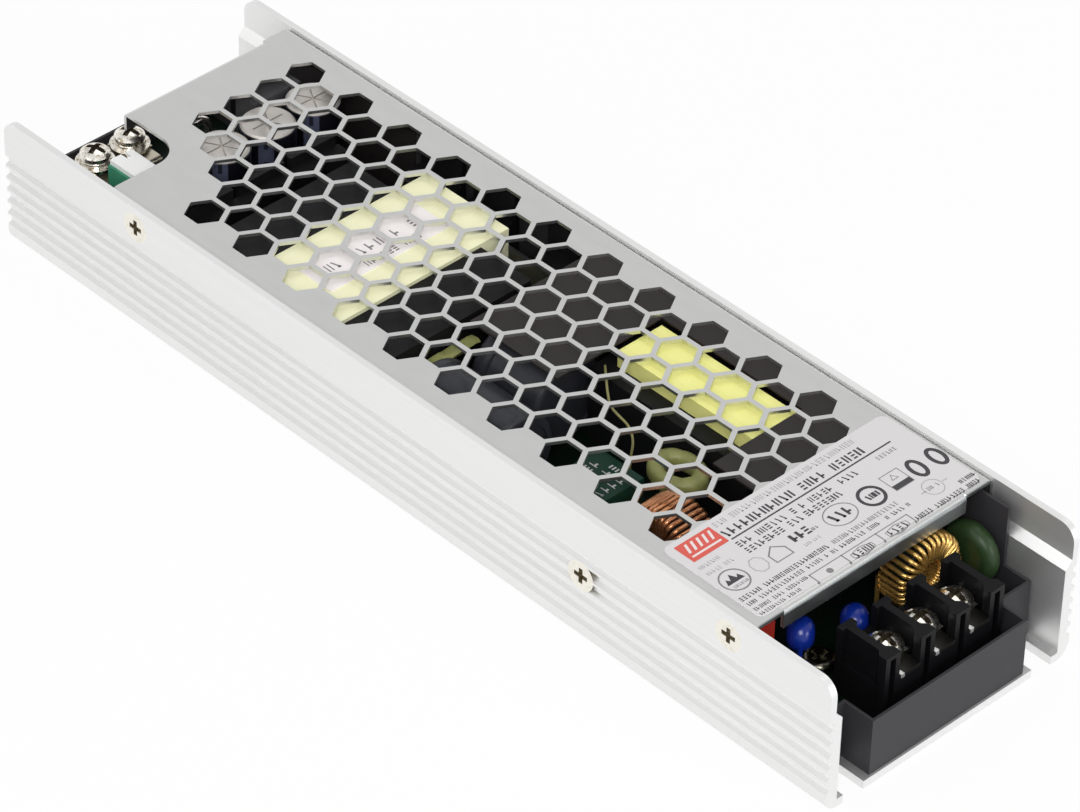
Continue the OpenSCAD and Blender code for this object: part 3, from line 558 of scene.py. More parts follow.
# %% Wire finishes
def enamel(name, color, dark):
    finish = Finish(name, color, 0.26, metal=0.8, coat=0.5, coat_rough=0.08)
    slow = finish.noise((0.6,) * 3, 2.0)
    finish.set("Base Color", finish.blend(slow, dark, color))
    finish.set("Roughness", 0.2 + 0.16 * slow)
    return finish


FINISHES |= {
    "gold_wire": enamel("golden_magnet_wire", (0.88, 0.58, 0.17), (0.50, 0.27, 0.07)),
    "copper_wire": enamel("red_magnet_wire", (0.66, 0.30, 0.13), (0.36, 0.13, 0.05)),
}
print("finishes:", len(FINISHES))

# %% [markdown]
# ## Dressing the solids
# The record names a material slot for each solid, and most solids take the finish of that name.
# Screws, their washers and the contact plates differ from the rest of their slot, so each of those
# nodes names a finish of its own.

# %% Dress the nodes
slots = {part["node"]: part["material_slot"] for part in frame["record"]["subparts"]}
OWN_FINISH = {
    "cover_screws": "wall_screw",
    "bridge_clamp_screw": "wall_screw",
    "input_terminal_screws": "mains_screw",
    "output_terminal_screws": "output_screw",
    "input_contact_plates": "contact_plate",
    "output_flat_washers": "screw_nickel",
    "output_spring_washers": "screw_nickel",
}
for name, node in nodes.items():
    node.data.materials.clear()
    node.data.materials.append(FINISHES[OWN_FINISH.get(name, slots[name])].material)
print("dressed", len(nodes), "nodes with", len(set(slots.values())), "finishes")

# %% [markdown]
# ## Recipes for what repeats
# Windings and printed marks repeat one small shape many times, so Geometry Nodes make them.
# `Recipe` builds a tree with named sizes. `make` puts the tree on an empty mesh, sets its sizes,
# turns the result into a plain mesh and places it, so that nothing live is left on the piece.

# %% Pieces and plain meshes
def show(name, mesh, place=Matrix.Identity(4)):
    """Put a finished mesh into the scene on the one body."""
    mesh.transform(place)
    piece = bpy.data.objects.new(name, mesh)
    bpy.context.scene.collection.objects.link(piece)
    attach(piece, "root")
    print(name, "has", len(mesh.polygons), "faces")
    return piece


def plain_mesh(holder):
    """The mesh of a helper object with all applied. The helper itself goes."""
    bpy.context.scene.collection.objects.link(holder)
    graph = bpy.context.evaluated_depsgraph_get()
    mesh = bpy.data.meshes.new_from_object(holder.evaluated_get(graph), depsgraph=graph)
    bpy.data.objects.remove(holder)
    return mesh


print("pieces can be shown")

# %% Recipe
class Recipe(Graph):
    """A Geometry Nodes tree with named sizes, in metres."""

    def __init__(self, name, sizes):
        super().__init__(bpy.data.node_groups.new(name, "GeometryNodeTree"))
        self.defaults = sizes
        self.ids = {}
        kinds = {k: "Int" if isinstance(v, int) else "Float" for k, v in sizes.items()}
        for label, kind in (kinds | {"Material": "Material"}).items():
            self.ids[label] = self.tree.interface.new_socket(
                label, in_out="INPUT", socket_type=f"NodeSocket{kind}"
            ).identifier
        self.tree.interface.new_socket(
            "Geometry", in_out="OUTPUT", socket_type="NodeSocketGeometry"
        )
        self.start = self.tree.nodes.new("NodeGroupInput")
        self.end = self.tree.nodes.new("NodeGroupOutput")

    def __getitem__(self, label):
        return Value(self, self.start.outputs[label])

    def vector(self, x=0.0, y=0.0, z=0.0):
        return self.add("ShaderNodeCombineXYZ", sockets={"X": x, "Y": y, "Z": z})

    def random(self, low, high, seed):
        """A random number for each point, a whole one between whole numbers."""
        kind, first, out = ("INT", 4, 2) if isinstance(low, int) else ("FLOAT", 2, 1)
        sockets = {first: low, first + 1: high, "Seed": seed}
        return self.add("FunctionNodeRandomValue", {"data_type": kind}, sockets, out)

    def gather(self, kind, parts):
        """Feed several parts into the one socket of a joining node."""
        node = self.tree.nodes.new(kind)
        for part in reversed(parts):
            self.feed(node.inputs[0], part)
        return Value(self, node.outputs[0])

    def close(self, geometry):
        real = self.add("GeometryNodeRealizeInstances", sockets={"Geometry": geometry})
        sockets = {"Geometry": real, "Material": self["Material"]}
        dressed = self.add("GeometryNodeSetMaterial", sockets=sockets)
        self.feed(self.end.inputs["Geometry"], dressed)

    def make(self, name, slot, place, material, **sizes):
        holder = bpy.data.objects.new(name + "_holder", bpy.data.meshes.new(name))
        modifier = holder.modifiers.new("recipe", "NODES")
        modifier.node_group = self.tree
        for label, value in (self.defaults | sizes | {"Material": material}).items():
            modifier[self.ids[label]] = value
        return show(name, plain_mesh(holder), place)


print("recipes ready")

# %% [markdown]
# ## Ring chokes
# Each ring choke is a powder core with one layer of wire. A turn is a rounded rectangle round the
# core's section; copies of it stand on a circle, each turned to face the middle. On the rim the
# turns lie apart, and in the bore they crowd together. A little random lean keeps them handmade.

# %% Recipe of a wound ring
winding = Recipe(
    "wound_ring",
    {
        "Rim": 0.007, "Bore": 0.002, "Width": 0.006, "Wire": 0.0008,
        "Turns": 28, "Lean": 0.05, "Seed": 3,
    },
)
rim, bore, wire, turns = (winding[label] for label in ("Rim", "Bore", "Wire", "Turns"))
section = winding.add(
    "GeometryNodeCurvePrimitiveQuadrilateral",
    sockets={"Width": rim - bore - wire, "Height": winding["Width"] - wire},
)
section = winding.add(
    "GeometryNodeFilletCurve",
    {"mode": "POLY"},
    {"Curve": section, "Radius": wire * 1.5, "Count": 4},
)
strand = winding.add(
    "GeometryNodeCurvePrimitiveCircle", sockets={"Resolution": 8, "Radius": wire * 0.5}
)
turn = winding.add(
    "GeometryNodeCurveToMesh", sockets={"Curve": section, "Profile Curve": strand}
)
turn = winding.add(
    "GeometryNodeTransform", sockets={"Geometry": turn, "Rotation": (math.pi / 2, 0, 0)}
)
circle = winding.add(
    "GeometryNodeMeshCircle", sockets={"Vertices": turns, "Radius": (rim + bore) * 0.5}
)
angle = winding.add("GeometryNodeInputIndex") * (2 * math.pi / turns)
lean = winding.random(winding["Lean"] * -1.0, winding["Lean"], winding["Seed"])
facing = winding.vector(lean, 0.0, angle)
layer = winding.add(
    "GeometryNodeInstanceOnPoints",
    sockets={"Points": circle, "Instance": turn, "Rotation": facing},
)
winding.close(layer)
print("sizes of a wound ring:", list(winding.defaults))

# %% Wind the ring chokes
BORE_RADIUS = 2.2  # inside the turns, in millimetres


def wind(name, node, slot, axis, turns, wire, lean, seed):
    """Turns in place of a node's plain ring, whose axis is X (0) or Y (1)."""
    low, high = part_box(node)
    centre = (low + high) / 2
    width = high[axis] - low[axis]
    rim = (high[1 - axis] - low[1 - axis]) / 2
    centre.z = high.z - rim
    quarter = Matrix.Rotation(math.pi / 2, 4, "Y" if axis == 0 else "X")
    piece = winding.make(
        name, slot, Matrix.Translation(centre) @ quarter, FINISHES[slot].material,
        Rim=rim, Bore=BORE_RADIUS * MM, Width=width, Wire=wire * MM,
        Turns=turns, Lean=lean, Seed=seed,
    )
    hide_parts(node)
    return [v / MM for v in centre], rim / MM, width / MM


gold = wind(
    "line_choke_turns", "line_choke_winding", "gold_wire",
    axis=0, turns=34, wire=0.74, lean=0.06, seed=5,
)
copper = wind(
    "filter_choke_turns", "filter_choke_winding", "copper_wire",
    axis=1, turns=46, wire=0.8, lean=0.05, seed=8,
)

# %% [markdown]
# ## Leads
# The wound rings stand on the ends of their own wire. A lead is a short path with a round section,
# so a curve with a bevel draws it, and the curve becomes a mesh before it is placed.

# %% Wire leads
LEAD_INSET = 0.6  # of a lead from the rim and the side of its ring, in millimetres
LEAD_WIRE = 0.85


def wire_path(name, finish, points, diameter):
    """A round wire along points in millimetres."""
    curve = bpy.data.curves.new(name, "CURVE")
    curve.dimensions = "3D"
    curve.bevel_depth = diameter / 2 * MM
    curve.bevel_resolution = 3
    curve.use_fill_caps = True
    spline = curve.splines.new("NURBS")
    spline.points.add(len(points) - 1)
    for point, where in zip(spline.points, points):
        point.co = (*(v * MM for v in where), 1)
    spline.use_endpoint_u = True
    spline.order_u = 3
    spline.resolution_u = 6
    mesh = plain_mesh(bpy.data.objects.new(name + "_holder", curve))
    mesh.materials.clear()
    mesh.materials.append(FINISHES[finish].material)
    return show(name, mesh)


board_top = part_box("circuit_board")[1].z / MM
for name, ((x, y, z), reach, width), finish, axis in (
    ("line_choke_lead", gold, "gold_wire", 0),
    ("filter_choke_lead", copper, "copper_wire", 1),
):
    for end, side in (("a", -1), ("b", 1)):
        out = side * (reach - LEAD_INSET)
        off = side * (width / 2 - LEAD_INSET)
        foot = (x + off, y + out) if axis == 0 else (x - out, y + off)
        points = [(*foot, height) for height in (z, (z + board_top) / 2, board_top)]
        wire_path(f"{name}_{end}", finish, points, LEAD_WIRE)

# %% [markdown]
# ## Label print
# The label carries rows of ink. Words are left out: a row is made of small plain marks that only
# have the weight of print. One recipe draws them: it picks one of four forms for each place, varies
# its width and drops some of them as gaps between words.

# %% Ink
INK = {
    name: plastic(f"{name}_ink", color, 0.5, 6.0, 0.002, spread=0.05).material
    for name, color in (
        ("dark", (0.035, 0.033, 0.038)),
        ("grey", (0.22, 0.21, 0.22)),
        ("pale", (0.42, 0.41, 0.42)),
        ("red", (0.66, 0.10, 0.075)),
        ("white", (0.80, 0.72, 0.71)),
    )
}
print("inks:", list(INK))

# %% Forms of marks
INK_DEPTH = 0.01  # of a printed mark, in millimetres
marks = Recipe(
    "row_of_marks",
    {
        "Length": 0.02, "Marks": 30, "Mark": 0.0006, "Height": 0.0006,
        "Stroke": 0.26, "Keep": 0.8, "Seed": 1,
    },
)


def stroke(tall, wide, up=0.0, along=0.0, turn=0.0):
    """One straight stroke: its size and place are shares of a mark's height and width."""
    size = marks.vector(marks["Height"] * tall, marks["Mark"] * wide, INK_DEPTH * MM)
    cube = marks.add("GeometryNodeMeshCube", sockets={"Size": size})
    where = marks.vector(marks["Height"] * up, marks["Mark"] * along)
    sockets = {"Geometry": cube, "Translation": where, "Rotation": (0, 0, turn)}
    return marks.add("GeometryNodeTransform", sockets=sockets)


thin = marks["Stroke"]
forms = [
    marks.gather("GeometryNodeJoinGeometry", strokes)
    for strokes in (
        [stroke(1.0, thin, along=side * 0.36) for side in (-1, 1)],
        [stroke(0.2, 0.85, up=level * 0.4) for level in (-1, 0, 1)],
        [stroke(1.0, thin, along=-0.3), stroke(0.22, 0.6, up=0.15, along=0.1)],
        [stroke(1.0, thin, turn=0.3), stroke(0.2, 0.5, up=0.4, along=0.15)],
    )
]
print("forms of marks:", len(forms))

# %% Recipe of a row of marks
places = marks.add(
    "GeometryNodeMeshLine",
    sockets={
        "Count": marks["Marks"],
        "Start Location": marks.vector(0.0, marks["Length"] * -0.5),
        "Offset": marks.vector(0.0, marks["Length"] / (marks["Marks"] - 1.0)),
    },
)
dropped = marks.random(0.0, 1.0, marks["Seed"]) > marks["Keep"]
kept = marks.add(
    "GeometryNodeDeleteGeometry", {"domain": "POINT"}, {"Geometry": places, "Selection": dropped}
)
stretch = marks.random(0.8, 1.1, marks["Seed"] + 7.0)
printed = marks.add(
    "GeometryNodeInstanceOnPoints",
    sockets={
        "Points": kept,
        "Instance": marks.gather("GeometryNodeGeometryToInstance", forms),
        "Pick Instance": True,
        "Instance Index": marks.random(0, len(forms) - 1, marks["Seed"] + 3.0),
        "Scale": marks.vector(1.0, stretch, 1.0),
    },
)
marks.close(printed)
print("sizes of a row:", list(marks.defaults))

# %% [markdown]
# ## Placing the print
# Ink lies a hundredth of a millimetre over its film. `row` lays marks from one end to another,
# `shape` lays a flat outline, filled or as a ring. Both work in millimetres of the frame.

# %% Rows
INK_LIFT = 0.012  # over the film, in millimetres
PITCH_SHARE = 0.78  # the pitch of the marks as a share of their height
MARK_SHARE = 0.78  # a mark's width as a share of the pitch
END_GAP = 0.7  # of the last pitch
STROKE_GAIN = 1.25
label_low, label_high = (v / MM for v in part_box("rating_label"))


def row(name, x, y0, y1, height, ink, keep, heavy, seed, z=label_high.z, slot="label_film"):
    """Marks along Y from y0 to y1, of which the share keep stays; heavy is a stroke's width."""
    pitch = height * PITCH_SHARE
    middle = (x, (y0 + y1) / 2, z + INK_LIFT)
    marks.make(
        name, slot, Matrix.Translation([v * MM for v in middle]), INK[ink],
        Length=(y1 - y0 - END_GAP * pitch) * MM,
        Marks=max(2, round((y1 - y0) / pitch)),
        Mark=pitch * MARK_SHARE * MM,
        Height=height * MM,
        Stroke=STROKE_GAIN * heavy,
        Keep=keep,
        Seed=seed,
    )


print("label from", [round(v, 1) for v in label_low], "to", [round(v, 1) for v in label_high])

# %% Shapes
SHAPE_DEPTH = 0.008


def mesh_of(name, bm, material):
    """Finish mesh code: faces point outwards, and the material is on."""
    bmesh.ops.recalc_face_normals(bm, faces=bm.faces[:])
    mesh = bpy.data.meshes.new(name)
    bm.to_mesh(mesh)
    bm.free()
    mesh.materials.append(material)
    return mesh


def shape(name, outline, ink="dark", hole=None, lift=0.0):
    """A thin printed shape: an outline in millimetres, with an optional inner outline."""
    z = label_high.z + INK_LIFT + lift
    bm = bmesh.new()
    outer = [bm.verts.new((x * MM, y * MM, z * MM)) for x, y in outline]
    if hole is None:
        bm.faces.new(outer)
    else:
        inner = [bm.verts.new((x * MM, y * MM, z * MM)) for x, y in hole]
        for i in range(len(outer)):
            j = (i + 1) % len(outer)
            bm.faces.new((outer[i], outer[j], inner[j], inner[i]))
    solid = bmesh.ops.extrude_face_region(bm, geom=bm.faces[:])["geom"]
    raised = [v for v in solid if isinstance(v, bmesh.types.BMVert)]
    bmesh.ops.translate(bm, vec=(0, 0, SHAPE_DEPTH * MM), verts=raised)
    show(name, mesh_of(name, bm, INK[ink]))


print("a printed shape is", SHAPE_DEPTH, "mm deep")

# %% Outlines
def oval(x, y, tall, wide, sides=36, turn=0.0):
    """Outline of an oval or of a regular shape; tall runs along X and wide along Y."""
    steps = [2 * math.pi * i / sides + turn for i in range(sides)]
    return [(x + tall * math.cos(a), y + wide * math.sin(a)) for a in steps]


def ring(name, x, y, tall, wide, line, ink="dark", sides=36, turn=0.0):
    outer, inner = (oval(x, y, tall - d, wide - d, sides, turn) for d in (0.0, line))
    shape(name, outer, ink, inner)


def field(x0, x1, y0, y1, slant=0.0):
    return [(x0, y0 + slant), (x1, y0), (x1, y1), (x0, y1 + slant)]


def gable(x, y, peak, eaves, base, half):
    """Outline of a house front: its peak, eaves and base are distances along X from x."""
    return [
        (x - peak, y), (x - eaves, y + half), (x + base, y + half),
        (x + base, y - half), (x - eaves, y - half),
    ]


print("an oval has", len(oval(0, 0, 1, 1)), "corners")

# %% [markdown]
# ## The label
# A red field, a heading over a rule, two rows of ratings, a row of outlined shapes and four lines
# of small print, with three cells that stand before the terminal's poles. The places are distances
# from the label's inner edge and its near side, so the print follows the label if the label moves.

# %% Print the rows
inner_x, near_y = label_low.x, label_low.y
ROWS = (  # name, from the inner edge, from and to along the row, height, ink, share kept, stroke
    ("top_line", 1.5, 10.0, 40.8, 1.15, "pale", 0.88, 0.24),
    ("heading", 4.0, 9.6, 40.2, 1.75, "dark", 0.88, 0.30),
    ("rating_a", 7.2, 9.5, 19.8, 1.3, "dark", 0.95, 0.24),
    ("rating_b", 7.2, 21.3, 30.0, 1.3, "dark", 0.92, 0.24),
    ("rating_c", 7.2, 32.0, 35.7, 1.3, "dark", 1.0, 0.24),
    ("rating_d", 7.2, 40.4, 45.3, 0.85, "grey", 0.9, 0.26),
    ("rating_e", 9.1, 9.5, 21.6, 1.3, "dark", 0.95, 0.24),
    ("rating_f", 9.1, 22.5, 30.3, 1.3, "dark", 0.92, 0.28),
    ("side_a", 7.2, 1.2, 5.4, 0.8, "pale", 0.9, 0.26),
    ("side_b", 9.0, 1.1, 7.2, 0.8, "pale", 0.8, 0.26),
    ("small_a", 16.6, 0.6, 19.6, 0.95, "dark", 0.9, 0.26),
    ("small_b", 16.6, 20.8, 35.0, 0.9, "grey", 0.9, 0.30),
    ("small_c", 18.1, 0.6, 12.7, 0.85, "dark", 0.86, 0.26),
    ("small_d", 18.1, 13.6, 36.2, 0.85, "dark", 0.86, 0.26),
    ("small_e", 19.6, 0.6, 12.1, 0.75, "dark", 0.88, 0.26),
    ("small_f", 20.9, 0.6, 9.8, 0.7, "dark", 0.9, 0.26),
    ("edge_a", 19.8, 45.9, 49.2, 0.85, "dark", 1.0, 0.34),
    ("edge_b", 21.3, 34.5, 49.4, 0.9, "dark", 0.88, 0.32),
    ("in_round", 13.9, 2.0, 5.0, 0.6, "grey", 0.9, 0.3),
    ("bold_mark", 11.8, 16.7, 20.4, 1.8, "dark", 1.0, 0.42),
    ("bold_note", 14.2, 17.0, 20.4, 0.7, "pale", 0.9, 0.26),
    ("bold_side", 12.3, 20.7, 21.9, 0.7, "grey", 1.0, 0.4),
    ("in_oval", 12.7, 24.4, 28.6, 2.0, "dark", 1.0, 0.34),
    ("in_bold_ring", 12.9, 32.2, 34.6, 1.2, "dark", 1.0, 0.4),
    ("in_faint_ring", 17.7, 40.8, 43.2, 0.8, "grey", 0.9, 0.3),
)
ROW_SEED = 11
for seed, (name, down, start, end, height, ink, keep, heavy) in enumerate(ROWS, ROW_SEED):
    y0, y1 = near_y + start, near_y + end
    row(f"ink_{name}", inner_x + down, y0, y1, height, ink, keep, heavy, seed)

# %% Print the rule and the red field
OVER_RED = 0.012  # lift of white ink over red, in millimetres
shape("ink_rule", field(inner_x + 5.45, inner_x + 5.75, near_y + 9.8, near_y + 45.2))
shape("ink_red_field", field(inner_x + 1.1, inner_x + 5.6, near_y + 1.7, near_y + 9.3), "red")
for count in range(5):
    y = near_y + 2.6 + 1.25 * count
    bar = field(inner_x + 1.7, inner_x + 3.7, y, y + 0.5, slant=0.7)
    shape(f"ink_slant_{count}", bar, "white", lift=OVER_RED)
bar = field(inner_x + 4.35, inner_x + 4.75, near_y + 2.4, near_y + 8.6)
shape("ink_red_line", bar, "white", lift=OVER_RED)

# %% Print the outlined shapes
middle = inner_x + 12.6
ring("ink_round", middle, near_y + 3.4, 2.6, 2.6, 0.28, "grey")
PEAKS = (
    (0.5, -1.8), (-0.8, -1.2), (-0.1, -0.7), (-1.5, 0.0), (-0.1, 0.7), (-0.8, 1.2), (0.5, 1.8),
)
shape("ink_peaks", [(middle + x, near_y + 3.4 + y) for x, y in PEAKS])
ring("ink_eight", middle, near_y + 8.7, 1.9, 1.6, 0.2, "pale", 8, math.pi / 8)
shape(
    "ink_gable", gable(middle, near_y + 12.9, 1.9, 0.4, 1.7, 1.9), "grey",
    gable(middle, near_y + 12.9, 1.6, 0.25, 1.5, 1.65),
)
ring("ink_oval", middle + 0.1, near_y + 26.5, 2.5, 3.2, 0.2, "grey")
ring("ink_bold_ring", middle + 0.3, near_y + 33.3, 2.5, 2.5, 0.6)
ring("ink_square", middle + 0.1, near_y + 39.1, 2.9, 2.9, 0.22, "grey", 4, math.pi / 4)
shape("ink_square_base", field(middle + 0.9, middle + 2.0, near_y + 37.2, near_y + 41.0))
ring("ink_wedge", middle - 0.5, near_y + 39.1, 0.9, 0.9, 0.25, "grey", 3, math.pi)
for count, y in enumerate((43.5, 47.9)):
    ring(f"ink_tall_{count}", middle + 0.4, near_y + y, 2.4, 1.5, 0.75)
ring("ink_faint_ring", inner_x + 17.8, near_y + 42.0, 1.9, 1.9, 0.16, "pale")
for count, y in enumerate((39.4, 44.1)):
    dash = field(inner_x + 17.7, inner_x + 17.9, near_y + y, near_y + y + 1.0)
    shape(f"ink_dash_{count}", dash, "pale")

# %% Print the cells
CELL_SEED = 51
cell_top = inner_x + 19.5
shape("ink_cell_rule", field(cell_top, cell_top + 0.18, near_y + 12.4, near_y + 34.0), "grey")
for count, y in enumerate((12.4, 19.4, 27.0, 33.9)):
    edge = field(cell_top, inner_x + 22.0, near_y + y, near_y + y + 0.22)
    shape(f"ink_cell_edge_{count}", edge, "grey")
for count, y in enumerate((near_y + 22.9, near_y + 30.6)):
    ring(f"ink_cell_{count}", inner_x + 21.0, y, 1.05, 2.7, 0.16, "grey", 6)
    name = f"ink_cell_mark_{count}"
    row(
        name, inner_x + 21.0, y - 1.9, y + 1.9, height=1.2,
        ink="dark", keep=1.0, heavy=0.3, seed=CELL_SEED + count,
    )
shape("ink_cell_dot", oval(inner_x + 20.9, near_y + 15.7, 0.6, 0.6, 12), "grey")

# %% [markdown]
# ## Print on the parts inside
# Through the vents one sees print on the transformer's tag, the film capacitor and the sleeves.
# Those are rows of the same marks: grey on the pale tag, dark on the grey sleeve and pale on the
# green case.

# %% Marks inside
TAG_SEED, FILM_SEED, SLEEVE_SEED = 61, 71, 81
tag_low, tag_high = (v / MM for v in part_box("transformer_label"))
tag_x = (tag_low.x + tag_high.x) / 2
TAG_ROWS = (  # from the tag's middle, from and to along the row, height
    (-0.6, -15.0, -11.0, 2.0),
    (-0.6, -8.5, -1.5, 2.0),
    (-0.6, 1.0, 6.0, 2.0),
    (2.6, -9.0, 4.0, 1.5),
)
for count, (x, y0, y1, height) in enumerate(TAG_ROWS):
    row(
        f"tag_print_{count}", tag_x + x, y0, y1, height, ink="grey", keep=0.9, heavy=0.2,
        seed=TAG_SEED + count, z=tag_high.z, slot="white_label",
    )
film_low, film_high = (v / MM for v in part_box("film_capacitor"))
for count, x in enumerate((2.4, 5.2, 8.0)):
    row(
        f"film_print_{count}", film_low.x + x, film_low.y + 1.0, film_high.y - 1.4, height=1.7,
        ink="pale", keep=0.6, heavy=0.14, seed=FILM_SEED + count, z=film_high.z, slot="film_cap",
    )
SLEEVE_DIP = 0.25  # the sleeve's top lies this far under the node's, in millimetres
SLEEVE_START, SLEEVE_LENGTH = -18.0, 4.2
bulk_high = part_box("bulk_capacitors")[1] / MM
for count, x in enumerate((1.5, 7.5)):
    row(
        f"sleeve_print_{count}", x, SLEEVE_START, SLEEVE_START + SLEEVE_LENGTH, height=1.9,
        ink="dark", keep=1.0, heavy=0.22, seed=SLEEVE_SEED + count,
        z=bulk_high.z - SLEEVE_DIP, slot="grey_sleeve",
    )

# %% [markdown]
# ## Loose parts under the cover
# Some parts are soft or bent by hand, and so they are drawn here. A small ring choke, wrapped in
# olive film, stands on its two legs. A sleeved wire loops from the boost choke down to the board. A
# tail of film hangs over the end of the transformer, a dark film lines the far wall, and a thick
# plated link stands at the output end.

# %% Wrapped ring
RING = (38.7, -1.7, 17.2)
RING_RADIUS, RING_THICK, RING_TALL = 3.15, 1.2, 1.7
RING_OVAL = 1.3  # its length along X over its width
WRAPS = 9
BULGE = 0.1  # of the film between two wraps, in millimetres


def wrapped_ring(name, finish, around=96, section=20):
    """A ring whose film bulges a little between its wraps."""
    bm = bmesh.new()
    loops = []
    for i in range(around):
        a = 2 * math.pi * i / around
        bulge = BULGE * abs(math.sin(WRAPS * a / 2))
        loop = []
        for j in range(section):
            b = 2 * math.pi * j / section
            squarish = (abs(math.cos(b)) ** 3 + abs(math.sin(b)) ** 3) ** (-1 / 3)
            r = RING_RADIUS + (RING_THICK - BULGE + bulge) * squarish * math.cos(b)
            z = RING[2] + (RING_TALL - BULGE + bulge) * squarish * math.sin(b)
            x = RING[0] + RING_OVAL * r * math.cos(a)
            loop.append(bm.verts.new((x * MM, (RING[1] + r * math.sin(a)) * MM, z * MM)))
        loops.append(loop)
    for i in range(around):
        here, there = loops[i], loops[(i + 1) % around]
        for j in range(section):
            k = (j + 1) % section
            bm.faces.new((here[j], there[j], there[k], here[k])).smooth = True
    show(name, mesh_of(name, bm, FINISHES[finish].material))


wrapped_ring("wrapped_ring_choke", "olive_film")

# %% Legs and wire
LEG_PLACE = 3.4  # from the ring's middle along X
for count, side in enumerate((-1, 1)):
    leg = [(RING[0] + side * LEG_PLACE, RING[1], z) for z in (RING[2] - 1.6, 12.0, board_top)]
    wire_path(f"ring_leg_{count}", "sleeved_wire", leg, diameter=0.8)
BOOST_WIRE = [
    (15.4, 4.6, 21.9), (17.8, 2.5, 22.0), (20.2, 0.5, 21.5), (22.7, -1.3, 21.0),
    (24.7, -1.2, 20.2), (27.1, -1.5, 20.0), (28.6, -2.0, 19.0), (29.2, -2.4, 17.6),
    (29.3, -3.1, 15.0), (29.3, -3.2, board_top),
]
wire_path("boost_wire", "sleeved_wire", BOOST_WIRE, diameter=0.45)

# %% Films and link
FILM = 0.12  # thickness, in millimetres
FILM_STEPS = 14
WAVE = 2.1  # radians from one step to the next


def folded_film(name, finish, path, along, start, end, wave=0.0):
    """A folded strip of film: a path across it, in millimetres, drawn out along X or Y."""
    bm = bmesh.new()
    grid = []
    for i in range(FILM_STEPS + 1):
        out = start + (end - start) * i / FILM_STEPS
        line = []
        for k, (side, z) in enumerate(path):
            lifted = z + wave * math.sin(WAVE * i) * (k > 0)
            x, y = (out, side) if along == "X" else (side, out)
            line.append(bm.verts.new((x * MM, y * MM, lifted * MM)))
        grid.append(line)
    for a, b in zip(grid, grid[1:]):
        for k in range(len(path) - 1):
            bm.faces.new((a[k], b[k], b[k + 1], a[k + 1]))
    bmesh.ops.recalc_face_normals(bm, faces=bm.faces[:])
    bmesh.ops.solidify(bm, geom=bm.faces[:], thickness=FILM * MM)
    show(name, mesh_of(name, bm, FINISHES[finish].material))


TAIL_FOLD = [(-7.3, 16.5), (-7.2, 19.5), (-6.2, 20.6), (-4.6, 20.9), (-4.0, 20.4)]
WALL_FOLD = [(24.0, 5.2), (24.0, 23.2), (23.7, 23.7), (22.9, 23.8)]
folded_film(
    "transformer_film_tail", "olive_film", TAIL_FOLD, "Y", -19.5, -4.5, wave=0.12
)
folded_film("far_wall_film", "grey_film", WALL_FOLD, "X", -84.0, -50.5)
LINK = [
    (-83.6, -0.5, board_top), (-83.6, -0.5, 15.5), (-83.3, 0.6, 18.0), (-82.2, 2.8, 18.9),
    (-82.6, 5.0, 17.8), (-83.2, 6.0, 15.0), (-83.3, 6.2, board_top),
]
wire_path("output_link", "screw_nickel", LINK, diameter=1.5)

# %% [markdown]
# ## Floor
# A wide pale floor carries the shadow. It blends into a white background for the camera, for gloss
# and for glass alone, so no light is added to the object.

# %% Floor
FLOOR_WHITE = 0.93  # share of plain white that those rays see in the floor
WHITE = (1, 1, 1, 1)
FLOOR_REACH = 4  # from the middle to each side, in metres


def studio_floor():
    finish = Finish("studio_floor", (0.86, 0.86, 0.86), 0.7, specular=0.1)
    seen = finish.ray("Camera").math("MAXIMUM", finish.ray("Glossy"))
    seen = seen.math("MAXIMUM", finish.ray("Transmission"))
    white = finish.add("ShaderNodeEmission", sockets={"Color": WHITE, "Strength": 1.0})
    plain = Value(finish, finish.shader.outputs[0])
    finish.backdrop(seen * FLOOR_WHITE, plain, white, "Material Output")
    return finish.material


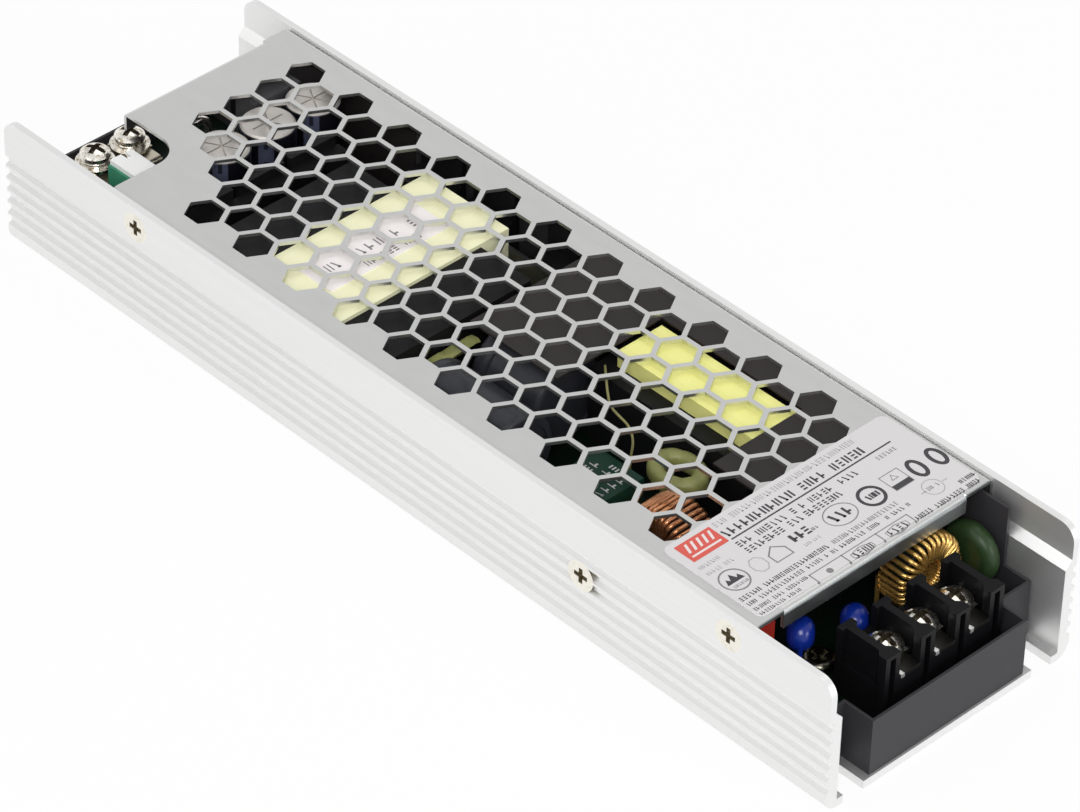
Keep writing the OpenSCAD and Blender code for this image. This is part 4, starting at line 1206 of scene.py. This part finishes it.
corners = [
    (x * FLOOR_REACH, y * FLOOR_REACH, 0) for x, y in ((-1, -1), (1, -1), (1, 1), (-1, 1))
]
floor_mesh = bpy.data.meshes.new("floor")
floor_mesh.from_pydata(corners, [], [(0, 1, 2, 3)])
floor_mesh.materials.append(studio_floor())
floor = bpy.data.objects.new("floor", floor_mesh)
bpy.context.scene.collection.objects.link(floor)
print("floor is", 2 * FLOOR_REACH, "m wide")

# %% [markdown]
# ## World
# The world is a soft fill. The camera sees it white, and so does glass. Gloss sees it white near
# the horizon and dimmer towards the top, so that the cover, which mirrors the upper part, stays
# grey.

# %% World
world = bpy.data.worlds.new("studio")
bpy.context.scene.world = world
world.use_nodes = True
sky = Graph(world.node_tree)
soft = sky.tree.nodes["Background"]
soft.inputs["Color"].default_value = WHITE
soft.inputs["Strength"].default_value = 0.5
white = sky.add("ShaderNodeBackground", sockets={"Color": WHITE, "Strength": 1.0})
heading = sky.add("ShaderNodeTexCoord", out="Generated")
upward = sky.add("ShaderNodeSeparateXYZ", sockets={"Vector": heading}, out="Z")
FADE = {"From Min": 0.25, "From Max": 0.62, "To Min": 1.0, "To Max": 0.5}
fade = sky.add("ShaderNodeMapRange", sockets={"Value": upward} | FADE)
seen = sky.ray("Camera").math("MAXIMUM", sky.ray("Glossy") * fade)
seen = seen.math("MAXIMUM", sky.ray("Transmission"))
sky.backdrop(seen, Value(sky, soft.outputs[0]), white, "World Output")
print("world ready")

# %% [markdown]
# ## Lamps
# Four large soft lamps light the supply at a plain level. The key lamp stands over the near wall.
# The front lamp stands close to the camera and reaches through the vents to the parts inside. A
# weaker one lights the mains end, and a faint one the far side from above.

# %% Lamps
LAMPS = (  # name, place and size in metres, power in watts
    ("key_lamp", (-0.25, -1.15, 0.7), 1.4, 4.0),
    ("front_lamp", (0.75, -0.75, 0.98), 0.6, 8.5),
    ("end_lamp", (1.2, 0.3, 0.4), 0.6, 4.5),
    ("top_lamp", (-0.1, 0.4, 1.3), 0.8, 1.5),
)
for name, place, size, power in LAMPS:
    data = bpy.data.lights.new(name, "AREA")
    data.shape = "DISK"
    data.size = size
    data.energy = power
    lamp = bpy.data.objects.new(name, data)
    bpy.context.scene.collection.objects.link(lamp)
    lamp.location = place
    lamp.rotation_euler = (-Vector(place)).to_track_quat("-Z", "Y").to_euler()
print("lamps:", len(LAMPS))
